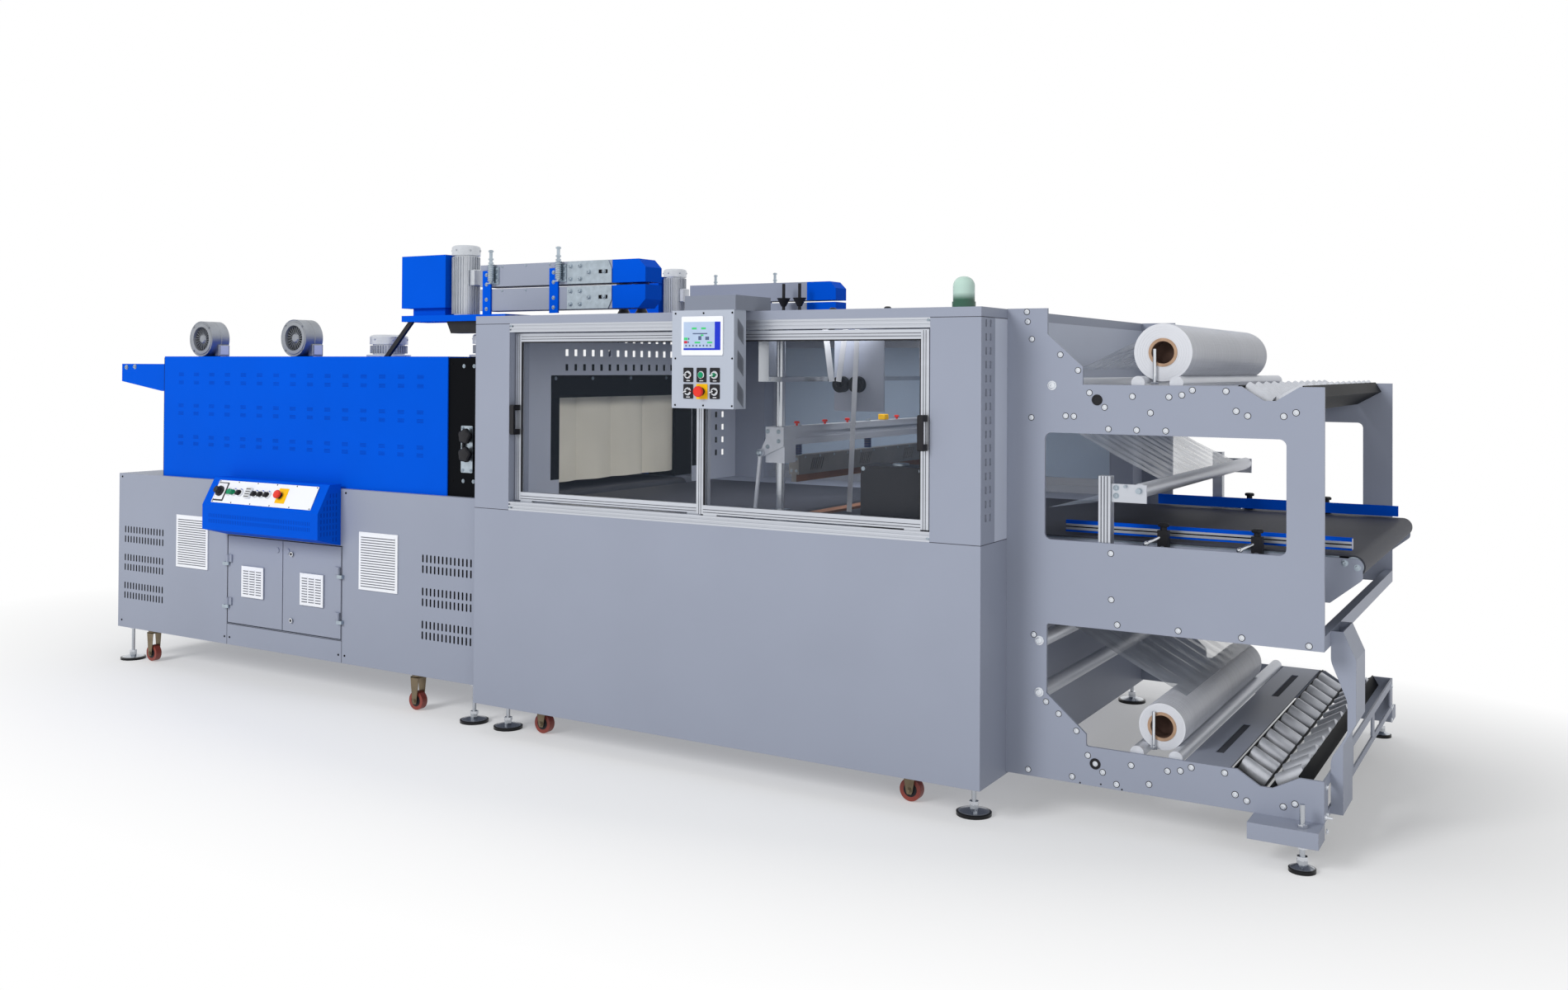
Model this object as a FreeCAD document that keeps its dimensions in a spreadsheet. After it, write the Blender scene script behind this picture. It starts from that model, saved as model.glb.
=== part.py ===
import FreeCAD, Part
import os
import re
import Sketcher

# Shrink wrapping machine: film unwinder on the right, sealing cabinet in the
# middle, heat tunnel on the left. Millimetres, +X along the line towards the
# infeed, +Y away from the operator, +Z up. The origin is on the floor, at the
# middle of the whole machine's length and depth.

# Driving dimensions, all in millimetres or degrees
SIZES = {
    # Stations along the line
    "exit_reach": 87,
    "tunnel_length": 2523,
    "cabinet_length": 2220,
    "unwind_length": 1018,
    "belt_overhang": 92,
    # Stations across the line
    "cabinet_depth": 2096,
    "tunnel_setback": 90,
    "hood_setback": 115,
    "plate_setback": 230,
    # Levels above the floor
    "cabinet_floor": 122,
    "cover_top": 921,
    "cabinet_top": 1705,
    "tunnel_floor": 165,
    "base_top": 945,
    "belt_level": 925,
    "touch_gap": 0.3,
    "shaft_play": 0.05,
    "moving_gap": 5,
    # Cabinet frame
    "column_length": 183,
    "column_depth": 120,
    "roof_thickness": 33,
    "rail_height": 34,
    "rail_depth": 62,
    "rail_groove": 5,
    "slot_rows": 15,
    "slot_first": 75,
    "slot_pitch": 46,
    "slot_width": 13,
    "slot_height": 24,
    "slot_inset": 36,
    "slot_gap": 38,
    "slot_depth": 10,
    "panel_thickness": 3,
    "hole_width": 22,
    "hole_height": 30,
    "hole_pitch": 62,
    "hole_row": 66,
    "hole_first": 40,
    "hole_lift": 120,
    "hole_margin": 150,
    "top_hole_rows": 3,
    "top_hole_count": 16,
    "side_hole_rows": 6,
    "side_hole_count": 3,
    "bay_margin": 368,
    "belt_margin": 40,
    "entry_half": 520,
    "entry_top": 1362,
    "product_top": 1300,
    # Sliding guard doors
    "door_overlap": 30,
    "door_thickness": 20,
    "door_stile": 30,
    "door_rail": 33,
    "front_track": 4,
    "rear_track": 32,
    "pane_thickness": 5,
    "skid_length": 60,
    "handle_width": 20,
    "handle_reach": 40,
    "handle_post": 22,
    "handle_bottom": 1225,
    "handle_top": 1345,
    "handle_inset": 5,
    # Operator panel
    "hmi_gap": 45,
    "hmi_depth": 80,
    "hmi_left": 1147,
    "hmi_width": 266,
    "hmi_height": 352,
    "arm_height": 52,
    "arm_width": 217,
    "arm_inset": 55,
    "arm_length": 240,
    "bezel_width": 178,
    "bezel_height": 140,
    "bezel_top": 22,
    "bezel_thickness": 4,
    "screen_width": 158,
    "screen_height": 101,
    "screen_top": 18,
    "screen_thickness": 1,
    "key_size": 38,
    "key_thickness": 3,
    "key_pitch": 57,
    "key_row": 59,
    "key_first": 232,
    "key_inset": 73,
    "button_radius": 11,
    "button_height": 12,
    "stop_radius": 20,
    "stop_height": 30,
    "stop_neck": 12,
    # Signal lamp
    "lamp_radius": 40,
    "lamp_base": 22,
    "lamp_height": 86,
    "lamp_lip": 3,
    "lamp_inset": 108,
    "lamp_dome_part": 0.9,
    # Tunnel base and its doors
    "compartment_left": 853,
    "compartment_width": 787,
    "compartment_depth": 480,
    "kick_top": 266,
    "base_door_top": 684,
    "base_door_thickness": 15,
    "knuckle_radius": 8,
    "knuckle_length": 34,
    "pin_radius": 4,
    "pin_foot": 16,
    "hinge_leaf": 26,
    "hinge_inset": 90,
    "lock_radius": 12,
    "lock_height": 4,
    "trough_half": 540,
    "vent_width": 240,
    "vent_height": 256,
    "vent_bottom": 506,
    "vent_thickness": 8,
    "left_vent": 470,
    "right_vent": 1754,
    "door_vent_width": 155,
    "door_vent_height": 147,
    "door_vent_bottom": 402,
    "door_vent_inset": 112,
    "door_vent_thickness": 6,
    # Control console
    "console_left": 838,
    "console_width": 793,
    "console_bottom": 691,
    "console_front_bottom": 727,
    "console_front_top": 843,
    "console_top": 967,
    "console_depth": 130,
    "console_ridge": 67,
    "face_inset": 55,
    "face_margin": 14,
    "face_length": 112,
    "face_thickness": 2,
    "face_button": 18,
    "switch_place": 40,
    "switch_radius": 30,
    "switch_height": 30,
    "start_place": 120,
    "stop_place": 470,
    "selector_first": 158,
    "selector_pitch": 48,
    "selector_count": 6,
    # Heat tunnel hood
    "hood_left": 323,
    "hood_length": 1932,
    "hood_top": 1541,
    "hood_end": 12,
    "entry_frame": 162,
    "frame_lip": 6,
    "bracket_thickness": 8,
    "bracket_setback": 40,
    "bracket_top": 1503,
    "bracket_mid": 1413,
    "bracket_bottom": 1366,
    "bracket_run": 330,
    "curtain_thickness": 4,
    "curtain_gap": 5,
    "curtain_bottom": 975,
    "curtain_count": 4,
    # Fans on the hood
    "blower_radius": 88,
    "blower_depth": 105,
    "blower_setback": 85,
    "first_blower": 150,
    "blower_pitch": 684,
    "blower_eye": 52,
    "blower_eye_depth": 40,
    "blower_outlet": 74,
    "fan_motor_radius": 86,
    "fan_motor_height": 92,
    "fan_flange_radius": 100,
    "fan_flange_height": 10,
    "fan_setback": 220,
    "first_fan": 1342,
    "fan_pitch": 640,
    # Belts, each one fixed loop over two rollers
    "belt_thickness": 5,
    "belt_drum": 30,
    "drum_shaft": 12,
    "tunnel_belt_half": 500,
    "tunnel_belt_level": 940,
    "belt_end_gap": 15,
    "bed_margin": 12,
    # Sealing unit
    "seal_station": 950,
    "guide_setback": 318,
    "guide_radius": 17,
    "guide_block": 60,
    "lower_block": 40,
    "slider_width": 84,
    "slider_height": 136,
    "slider_top": 1275,
    "beam_thickness": 40,
    "beam_height": 72,
    "jaw_thickness": 44,
    "jaw_height": 74,
    "jaw_gap": 44,
    "jaw_pin_inset": 30,
    "jaw_inset": 60,
    "jaw_edge_height": 28,
    "anvil_width": 60,
    "cross_height": 18,
    "cross_width": 44,
    "lock_width": 46,
    "lock_depth": 60,
    "lock_shift": 60,
    "beam_groove": 6,
    "beam_groove_height": 22,
    "link_plate": 8,
    "link_tip": 62,
    "link_tip_drop": 96,
    "link_tip_height": 16,
    "link_reach": 78,
    "link_radius": 8,
    "link_length": 232,
    "link_eye": 15,
    "well_length": 74,
    "well_width": 50,
    "well_depth": 155,
    "spring_radius": 13,
    "jaw_cover": 3,
    "slot_lean": 22,
    "jaw_slot_width": 7,
    "jaw_slot_pitch": 17,
    "jaw_slot_margin": 14,
    "jaw_slot_first": 90,
    "jaw_group_pitch": 420,
    "jaw_slot_groups": 3,
    "jaw_slot_count": 6,
    "cross_level": 1447,
    "drive_length": 240,
    "drive_depth": 150,
    "drive_height": 240,
    "drive_offset": 470,
    "drive_setback": 75,
    # Panel with two pulleys, hung from the roof behind the jaw
    "pulley_panel_left": 25,
    "pulley_panel_length": 225,
    "pulley_panel_offset": 348,
    "pulley_panel_drop": 345,
    "pulley_radius": 33,
    "pulley_width": 26,
    "pulley_rise": 108,
    "pulley_inset": 6,
    "pulley_pitch": 72,
    # Overhead belt units on the roof
    "unit_setback": 200,
    "unit_depth": 110,
    "unit_left": 2385,
    "unit_length": 712,
    "unit_beam_height": 93,
    "unit_beam_gap": 10,
    "unit_lift": 32,
    "unit_plate_length": 230,
    "unit_plate_thickness": 5,
    "unit_plate_cut": 36,
    "unit_slot_length": 46,
    "unit_slot_height": 16,
    "unit_slot_end": 20,
    "angle_width": 42,
    "angle_inset": 10,
    "spring_rod_radius": 7,
    "spring_coil_radius": 12,
    "spring_rod_rise": 62,
    "nose_cut": 34,
    "unit_nose": 165,
    "gearbox_left": 2856,
    "gearbox_length": 266,
    "gearbox_height": 232,
    "gearbox_lift": 19,
    "pedestal_inset": 24,
    "unit_motor_radius": 62,
    "unit_motor_height": 305,
    "unit_motor_offset": 335,
    "sole_drop": 10,
    "sole_thickness": 27,
    "base_plate_left": 2830,
    "base_plate_margin": 25,
    "strut_thickness": 14,
    "gusset_left": 2582,
    "gusset_length": 175,
    "gusset_run": 26,
    "gusset_height": 52,
    "gusset_thickness": 60,
    "strut_run": 150,
    "upright_width": 46,
    "upright_thickness": 8,
    "upright_drop": 25,
    "knob_stand_left": 1760,
    "knob_stand_pitch": 92,
    "knob_stand_setback": 392,
    "knob_stand_base": 6,
    "knob_plate_length": 190,
    "knob_plate_width": 90,
    "knob_rod_radius": 8,
    "knob_rod_height": 210,
    "knob_top_level": 96,
    "knob_neck": 12,
    "knob_wide": 34,
    "knob_half_height": 42,
    "first_upright": 20,
    "upright_pitch": 370,
    # Unwinder side plates
    "plate_thickness": 10,
    "plate_bottom": 130,
    "plate_top": 1706,
    "shoulder_level": 1618,
    "shoulder_length": 143,
    "slope_foot": 265,
    "slope_level": 1508,
    "deck_level": 1450,
    "upper_notch_width": 174,
    "upper_notch_end": 71,
    "upper_notch_level": 1406,
    "notch_floor_left": 69,
    "notch_floor_right": 104,
    "upper_hole_left": 135,
    "upper_hole_end": 110,
    "upper_hole_bottom": 930,
    "upper_hole_top": 1288,
    "mid_bottom": 648,
    "bay_left": 143,
    "bay_slope_top": 415,
    "bay_slope_foot": 280,
    "bay_slope_bottom": 296,
    "bay_floor": 257,
    "lower_notch_width": 183,
    "lower_notch_end": 72,
    "lower_notch_level": 214,
    "hole_radius": 22,
    "corner_radius": 8,
    # Roll bays
    "roller_radius": 27,
    "roller_length": 96,
    "roller_pitch": 128,
    "roller_count": 12,
    "roller_tilt": 30,
    "roller_play": 2,
    "track_wall": 4,
    "track_floor": 3,
    "track_height": 44,
    "track_split": 32,
    "track_sink": -58,
    "upper_roll_radius": 95,
    "lower_roll_radius": 76,
    "core_bore_radius": 38,
    "upper_roll_setback": 70,
    "roll_length": 1180,
    "roll_station": 508,
    "support_radius": 22,
    "support_spread": 62,
    "upper_support_lift": 8,
    "lower_support_lift": 2,
    "idler_radius": 25,
    "top_idler_station": 160,
    "top_idler_level": 1446,
    "bay_idler_rise": 60,
    # Film web and dancer
    "post_size": 40,
    "post_station": 336,
    "post_top": 1150,
    "dancer_station": 448,
    "dancer_level": 1105,
    "dancer_radius": 24,
    "dancer_plate": 8,
    "dancer_inset": 10,
    "bracket_height": 60,
    "web_thickness": 1.5,
    "web_half": 560,
    "web_angle": 25,
    "web_top": 1330,
    "web_left": 60,
    "web_bottom": 1010,
    # Infeed conveyor
    "infeed_side_top": 915,
    "infeed_side_bottom": 772,
    "infeed_side_slope": 850,
    "infeed_side_run": 11,
    "infeed_side_thickness": 6,
    "infeed_side_reach": 84,
    "infeed_side_round": 18,
    "guide_height": 40,
    "guide_thickness": 16,
    "guide_lift": 8,
    "front_guide_offset": 590,
    "back_guide_offset": 610,
    "front_guide_left": 131,
    "front_guide_reach": 45,
    "clamp_width": 34,
    "clamp_height": 52,
    "clamp_depth": 30,
    "clamp_first": 474,
    "clamp_pitch": 300,
    "clamp_arm": 14,
    "knob_height": 24,
    "spacer_radius": 14,
    "spacer_first": 180,
    "spacer_pitch": 640,
    # End frame, feet and castors
    "end_channel_height": 46,
    "end_channel_depth": 30,
    "end_plate_thickness": 6,
    "end_window_count": 3,
    "end_window_frame": 60,
    "end_window_bottom": 24,
    "end_window_top": 30,
    "deck_thickness": 4,
    "deck_left": 600,
    "deck_end_gap": 22,
    "deck_slot_width": 26,
    "deck_slot_length": 420,
    "deck_slot_inset": 55,
    "deck_slot_margin": 150,
    "post_setback": 700,
    "post_depth": 190,
    "post_wall": 4,
    "post_waist": 48,
    "post_reach": 73,
    "post_neck": 36,
    "post_round": 70,
    "post_shoulder": 600,
    "post_waist_top": 480,
    "post_waist_bottom": 380,
    "post_hip": 300,
    "post_back_top": 610,
    "post_back_bottom": 415,
    "post_back_hip": 345,
    "foot_pad_radius": 60,
    "small_pad_radius": 40,
    "foot_pad_height": 22,
    "foot_collar": 14,
    "foot_stud_radius": 8,
    "foot_beam_length": 205,
    "foot_beam_depth": 100,
    "foot_beam_level": 80,
    "foot_stud_rise": 70,
    "foot_stud_offset": 67,
    "foot_inset": 130,
    "tunnel_foot_left": 70,
    "tunnel_foot_right": 115,
    "cabinet_foot_end": 74,
    "castor_radius": 40,
    "castor_width": 30,
    "castor_lift": 2,
    "castor_cheek": 4,
    "castor_plate": 6,
    "castor_axle": 6,
    "castor_trail": 24,
    "castor_play": 2,
    "castor_inset": 150,
    "tunnel_castor_left": 210,
    "tunnel_castor_right": 463,
    "cabinet_castor_left": 253,
    "cabinet_castor_right": 313,
}

# Places worked out from the driving dimensions
PLACES = {
    "front_reach": "hmi_gap + hmi_depth + stop_height",
    "line_length": "exit_reach + tunnel_length + cabinet_length + unwind_length + belt_overhang",
    "tunnel_left": "exit_reach - line_length / 2",
    "cab_left": "tunnel_left + tunnel_length",
    "cab_right": "cab_left + cabinet_length",
    "frame_right": "cab_right + unwind_length",
    "cab_front": "(front_reach - cabinet_depth) / 2",
    "cab_back": "(front_reach + cabinet_depth) / 2",
    "mid": "front_reach / 2",
    "tunnel_front": "cab_front + tunnel_setback",
    "tunnel_depth": "cabinet_depth - 2 * tunnel_setback",
    "hood_front": "cab_front + hood_setback",
    "hood_depth": "cabinet_depth - 2 * hood_setback",
    "hood_start": "tunnel_left + hood_left",
    "hood_stop": "hood_start + hood_length",
    "plate_half": "cabinet_depth / 2 - plate_setback",
    "rail_bottom": "cover_top + rail_height",
    "roof_bottom": "cabinet_top - roof_thickness",
    "belt_depth": "2 * belt_drum + 2 * belt_thickness",
    "bay_depth": "cover_top - belt_level + belt_depth + moving_gap",
    "trough_depth": "base_top - tunnel_belt_level + belt_depth + moving_gap",
    "rail_top": "roof_bottom - rail_height",
    "glazing_left": "cab_left + column_length",
    "glazing_length": "cabinet_length - 2 * column_length",
    "door_width": "(glazing_length + door_overlap) / 2 - moving_gap",
    "door_height": "rail_top - rail_bottom - 2 * moving_gap",
    "hmi_front": "cab_front - hmi_gap - hmi_depth",
    "hmi_start": "cab_right - hmi_left",
    "bay_left_edge": "tunnel_left + compartment_left",
    "seal_line": "cab_right - seal_station",
    "jaw_top": "slider_top - beam_height - jaw_gap",
    "jaw_bottom": "jaw_top - jaw_height - jaw_edge_height",
    "bay_half": "cabinet_depth / 2 - bay_margin",
    "belt_half": "bay_half - belt_margin",
    "outfeed_length": "cabinet_length - seal_station - anvil_width / 2 - 2 * belt_end_gap",
    "infeed_inside": "seal_station - anvil_width / 2 - belt_end_gap",
    "upper_notch_right": "unwind_length - upper_notch_end",
    "upper_notch_left": "upper_notch_right - upper_notch_width",
    "lower_notch_right": "unwind_length - lower_notch_end",
    "lower_notch_left": "lower_notch_right - lower_notch_width",
    "upper_hole_right": "unwind_length - upper_hole_end",
    "bearing_half": "plate_half - plate_thickness",
    "beam_span": "cabinet_depth - 2 * guide_setback - slider_width",
    "jaw_length": "beam_span - 2 * jaw_inset",
    "unit_bottom": "cabinet_top + unit_lift",
    "unit_top": "unit_bottom + 2 * unit_beam_height + unit_beam_gap",
}

doc = FreeCAD.newDocument("ShrinkWrapper")
sheet = doc.addObject("Spreadsheet::Sheet", "Sizes")
for row, (alias, number) in enumerate(SIZES.items(), start=1):
    sheet.set("A%d" % row, alias)
    sheet.set("B%d" % row, str(number))
    sheet.setAlias("B%d" % row, alias)
doc.recompute()

XZ, YZ, XY = "XZ_Plane", "YZ_Plane", "XY_Plane"
nodes = []


def bound(text):
    """Text in terms of sizes and places, as an expression on the sheet."""
    def swap(match):
        word = match.group(0)
        if word in PLACES:
            return "(" + bound(PLACES[word]) + ")"
        return "Sizes." + word if word in SIZES else word
    return re.sub(r"[A-Za-z_]\w*", swap, str(text))


def value(text):
    """The number that an expression gives with the sizes as they are."""
    return float(sheet.evalExpression(bound(text)))


def put(thing, x, y, z):
    for axis, text in zip("xyz", (x, y, z)):
        thing.setExpression("Placement.Base." + axis, bound(text))
    return thing


def tilt(thing, angle):
    """Turn a piece about the Y axis through its own origin."""
    thing.Placement = FreeCAD.Placement(
        FreeCAD.Vector(), FreeCAD.Rotation(FreeCAD.Vector(0, 1, 0), 90))
    thing.setExpression("Placement.Rotation.Angle", bound(angle))
    return thing


def box(name, x, y, z, length, width, height):
    block = doc.addObject("Part::Box", name)
    for key, text in (("Length", length), ("Width", width), ("Height", height)):
        block.setExpression(key, bound(text))
    return put(block, x, y, z)


TURNS = {
    "x": FreeCAD.Rotation(FreeCAD.Vector(0, 1, 0), 90),
    "y": FreeCAD.Rotation(FreeCAD.Vector(1, 0, 0), -90),
    "z": FreeCAD.Rotation(),
}


def rod(name, axis, x, y, z, radius, length):
    """A round bar that starts at x, y, z and runs along +axis."""
    bar = doc.addObject("Part::Cylinder", name)
    bar.Placement = FreeCAD.Placement(FreeCAD.Vector(), TURNS[axis])
    bar.setExpression("Radius", bound(radius))
    bar.setExpression("Height", bound(length))
    return put(bar, x, y, z)


def prism(name, axis, x, y, z, radius, length, sides):
    """A bar with flat sides that starts at x, y, z and runs along +axis."""
    bar = doc.addObject("Part::Prism", name)
    bar.Placement = FreeCAD.Placement(FreeCAD.Vector(), TURNS[axis])
    bar.Polygon = sides
    bar.setExpression("Circumradius", bound(radius))
    bar.setExpression("Height", bound(length))
    return put(bar, x, y, z)


def cone(name, x, y, z, low_radius, high_radius, height):
    shape = doc.addObject("Part::Cone", name)
    for key, text in (("Radius1", low_radius), ("Radius2", high_radius), ("Height", height)):
        shape.setExpression(key, bound(text))
    return put(shape, x, y, z)


def cut(name, base, tool):
    result = doc.addObject("Part::Cut", name)
    result.Base = base
    result.Tool = tool
    return result


def fuse(name, *parts):
    result = doc.addObject("Part::MultiFuse", name)
    result.Shapes = list(parts)
    return result


def group(name, parts):
    """Like pieces on one body that don't touch, kept in one node."""
    result = doc.addObject("Part::Compound", name)
    result.Links = list(parts)
    return node(result)


def node(thing):
    nodes.append(thing)
    return thing


def origin_plane(body, role):
    return [plane for plane in body.Origin.OriginFeatures if plane.Role == role][0]


def draw(sketch, wire):
    """A closed outline of straight edges, each corner bound in both directions."""
    spots = [FreeCAD.Vector(value(u), value(v), 0) for u, v in wire]
    first = sketch.GeometryCount
    count = len(wire)
    for index in range(count):
        sketch.addGeometry(Part.LineSegment(spots[index], spots[(index + 1) % count]), False)
    for index in range(count):
        following = first + (index + 1) % count
        sketch.addConstraint(Sketcher.Constraint("Coincident", first + index, 2, following, 1))
    for index, corner in enumerate(wire):
        for kind, text in zip(("DistanceX", "DistanceY"), corner):
            datum = sketch.addConstraint(
                Sketcher.Constraint(kind, -1, 1, first + index, 1, value(text)))
            sketch.setExpression("Constraints[%d]" % datum, bound(text))


def plate(name, plane, wires, thickness, x, y, z, rounds=(), reverse=None):
    """A padded outline with its cut-outs: XZ and XY grow along +Y and +Z, YZ along +X."""
    body = doc.addObject("PartDesign::Body", name)
    sketch = body.newObject("Sketcher::SketchObject", name + "_outline")
    sketch.AttachmentSupport = [(origin_plane(body, plane), "")]
    sketch.MapMode = "FlatFace"
    for wire in wires:
        draw(sketch, wire)
    pad = body.newObject("PartDesign::Pad", name + "_pad")
    pad.Profile = sketch
    pad.setExpression("Length", bound(thickness))
    pad.Reversed = plane == XZ if reverse is None else reverse
    put(body, x, y, z)
    for number, (corners, radius) in enumerate(rounds):
        doc.recompute()
        tip = body.Tip
        fillet = body.newObject("PartDesign::Fillet", name + "_round_%d" % number)
        fillet.Base = (tip, edges_at(tip.Shape, plane, corners))
        fillet.setExpression("Radius", bound(radius))
        body.Tip = fillet
    return body


def edges_at(shape, plane, corners):
    """Names of the straight edges that stand on the given corners of the outline."""
    keep = {XZ: (0, 2), YZ: (1, 2), XY: (0, 1)}[plane]
    wanted = [(value(u), value(v)) for u, v in corners]
    found = []
    for number, edge in enumerate(shape.Edges, start=1):
        ends = [vertex.Point for vertex in edge.Vertexes]
        if len(ends) != 2:
            continue
        flat = [(end[keep[0]], end[keep[1]]) for end in ends]
        for u, v in wanted:
            if all(abs(a - u) < 0.01 and abs(b - v) < 0.01 for a, b in flat):
                found.append("Edge%d" % number)
    return found


def rectangle(left, bottom, right, top):
    return [(left, bottom), (right, bottom), (right, top), (left, top)]


def across(offset, sign, thickness="0"):
    """Where a piece starts whose outer face is offset from the middle plane."""
    if sign < 0:
        return "mid - (%s)" % offset
    return "mid + (%s) - (%s)" % (offset, thickness)


SIDES = (("front", -1), ("back", 1))
ROLLER_SIDES = 16
NUT_SIDES = 6
SHAFT_SIDES = 12


# Sealing cabinet: closed lower cover with the trough that the belts run in
def cabinet_housing():
    cover = box("cabinet_cover_block", "cab_left", "cab_front", "cabinet_floor",
                "cabinet_length", "cabinet_depth", "cover_top - cabinet_floor")
    trough = box("cabinet_trough", "cab_left", "mid - bay_half", "cover_top - bay_depth",
                 "cabinet_length", "2 * bay_half", "bay_depth")
    cover = cut("cabinet_cover_with_trough", cover, trough)
    wells = [box("%s_link_well" % side, "seal_line - link_reach - well_length / 2",
                 "mid + %d * (cabinet_depth / 2 - guide_setback + slider_width / 2 + link_plate)"
                 " - well_width / 2" % sign, "cover_top - well_depth",
                 "well_length", "well_width", "well_depth") for side, sign in SIDES]
    node(cut("cabinet_lower_cover", cover, fuse("link_wells", *wells)))
    columns = []
    for side, sign in SIDES:
        for end, x in (("left", "cab_left"), ("right", "cab_right - column_length")):
            column = box("%s_%s_post" % (side, end), x,
                         across("cabinet_depth / 2", sign, "column_depth"), "cover_top",
                         "column_length", "column_depth", "roof_bottom - cover_top")
            if end == "right":
                slots = []
                for line in range(SIZES["slot_rows"]):
                    for index in range(2):
                        offset = "cabinet_depth / 2 - slot_inset - %d * slot_gap" % index
                        slots.append(box("%s_slot_%d_%d" % (side, line, index),
                                         "cab_right - slot_depth",
                                         across(offset, sign, "slot_width"),
                                         "cover_top + slot_first + %d * slot_pitch" % line,
                                         "slot_depth", "slot_width", "slot_height"))
                column = cut("%s_%s_column" % (side, end), column,
                             fuse("%s_column_slots" % side, *slots))
            columns.append(column)
    group("cabinet_columns", columns)
    node(box("cabinet_roof", "cab_left", "cab_front", "roof_bottom",
             "cabinet_length", "cabinet_depth", "roof_thickness"))
    rails = []
    for side, sign in SIDES:
        for level, z in (("lower", "cover_top"), ("upper", "rail_top")):
            rails.append(slotted_rail("%s_%s_rail" % (side, level), sign, z))
    group("door_rails", rails)


def slotted_rail(name, sign, z):
    """Aluminium profile with two grooves along its outer face."""
    groove = "rail_height / 5"
    inner = "(%d) * rail_depth" % -sign
    deep = "(%d) * rail_groove" % -sign
    outline = [("0", "0")]
    for index in range(2):
        low = "%d * %s" % (1 + 2 * index, groove)
        high = "%d * %s" % (2 + 2 * index, groove)
        outline += [("0", low), (deep, low), (deep, high), ("0", high)]
    outline += [("0", "rail_height"), (inner, "rail_height"), (inner, "0")]
    return plate(name, YZ, [outline], "glazing_length", "glazing_left",
                 "mid + (%d) * cabinet_depth / 2" % sign, z)


def end_wall(name, x, half, top, holes=()):
    """Inner wall between the columns, open where the product passes."""
    outer = "cabinet_depth / 2 - column_depth"
    wire = [("-(%s)" % outer, "0"), ("-%s" % half, "0"), ("-%s" % half, "%s - cover_top" % top),
            (half, "%s - cover_top" % top), (half, "0"), (outer, "0"),
            (outer, "roof_bottom - cover_top"), ("-(%s)" % outer, "roof_bottom - cover_top")]
    wall = plate(name + "_sheet", YZ, [wire], "panel_thickness", x, "mid", "cover_top")
    if not holes:
        wall.Label = name
        return wall
    return cut(name, wall, fuse(name + "_holes", *holes))


def perforations(x):
    """Upright holes: rows above the tunnel's mouth, and a block beside it."""
    holes = []
    for line in range(SIZES["top_hole_rows"]):
        for index in range(SIZES["top_hole_count"]):
            holes.append(box("top_hole_%d_%d" % (line, index), x,
                             "mid - entry_half + hole_first + %d * hole_pitch" % index,
                             "entry_top + hole_lift + %d * hole_row" % line,
                             "panel_thickness", "hole_width", "hole_height"))
    for line in range(SIZES["side_hole_rows"]):
        for index in range(SIZES["side_hole_count"]):
            holes.append(box("side_hole_%d_%d" % (line, index), x,
                             "mid + entry_half + hole_margin + %d * hole_pitch" % index,
                             "cover_top + hole_lift + %d * hole_row" % line,
                             "panel_thickness", "hole_width", "hole_height"))
    return holes


def inner_walls():
    """Sheets at both ends of the cabinet, and the panel that the belt pulleys turn on."""
    group("inner_end_walls", [
        end_wall("left_inner_wall", "cab_left", "entry_half", "entry_top", perforations("cab_left")),
        end_wall("right_inner_wall", "cab_right - panel_thickness", "bay_half", "product_top"),
        box("pulley_panel", "seal_line + pulley_panel_left", "mid - pulley_panel_offset",
            "roof_bottom - pulley_panel_drop", "pulley_panel_length", "panel_thickness",
            "pulley_panel_drop")])


# Sliding guard doors on two tracks, and the fixed glazing of the far side
def sliding_frame(name, x, y):
    """Aluminium frame that stands on two low skids in its rail."""
    skid = "moving_gap - touch_gap"
    outline = [("0", "0"), ("0", "door_height"), ("door_width", "door_height"), ("door_width", "0"),
               ("door_width - door_stile", "0"),
               ("door_width - door_stile", "-(%s)" % skid),
               ("door_width - door_stile - skid_length", "-(%s)" % skid),
               ("door_width - door_stile - skid_length", "0"),
               ("door_stile + skid_length", "0"), ("door_stile + skid_length", "-(%s)" % skid),
               ("door_stile", "-(%s)" % skid), ("door_stile", "0")]
    light = rectangle("door_stile", "door_rail", "door_width - door_stile", "door_height - door_rail")
    return node(plate(name, XZ, [outline, light], "door_thickness", x, y,
                      "rail_bottom + moving_gap"))


def door_handle(name, x, y):
    """Bridge handle: a grip carried by two posts on the door's stile."""
    height = "handle_top - handle_bottom"
    grip = "-(handle_reach - handle_width / 2)"
    outline = [("0", "0"), ("0", "handle_post"), (grip, "handle_post"),
               (grip, height + " - handle_post"), ("0", height + " - handle_post"),
               ("0", height), ("-handle_reach", height), ("-handle_reach", "0")]
    return node(plate(name, YZ, [outline], "handle_width", x, y, "handle_bottom",
                      rounds=[(outline[6:], "corner_radius")]))


def guard_doors():
    places = {
        "left": ("glazing_left + moving_gap", "rear_track",
                 "glazing_left + moving_gap + handle_inset"),
        "right": ("glazing_left + glazing_length - moving_gap - door_width", "front_track",
                  "glazing_left + glazing_length - moving_gap - handle_inset - handle_width"),
    }
    for side, (x, track, handle_x) in places.items():
        sliding_frame("%s_guard_door" % side, x, "cab_front + %s" % track)
        pane_y = "cab_front + %s + (door_thickness - pane_thickness) / 2" % track
        node(box("%s_door_pane" % side, "%s + door_stile" % x, pane_y,
                 "rail_bottom + moving_gap + door_rail", "door_width - 2 * door_stile",
                 "pane_thickness", "door_height - 2 * door_rail"))
        door_handle("%s_door_handle" % side, handle_x, "cab_front + %s" % track)


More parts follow.
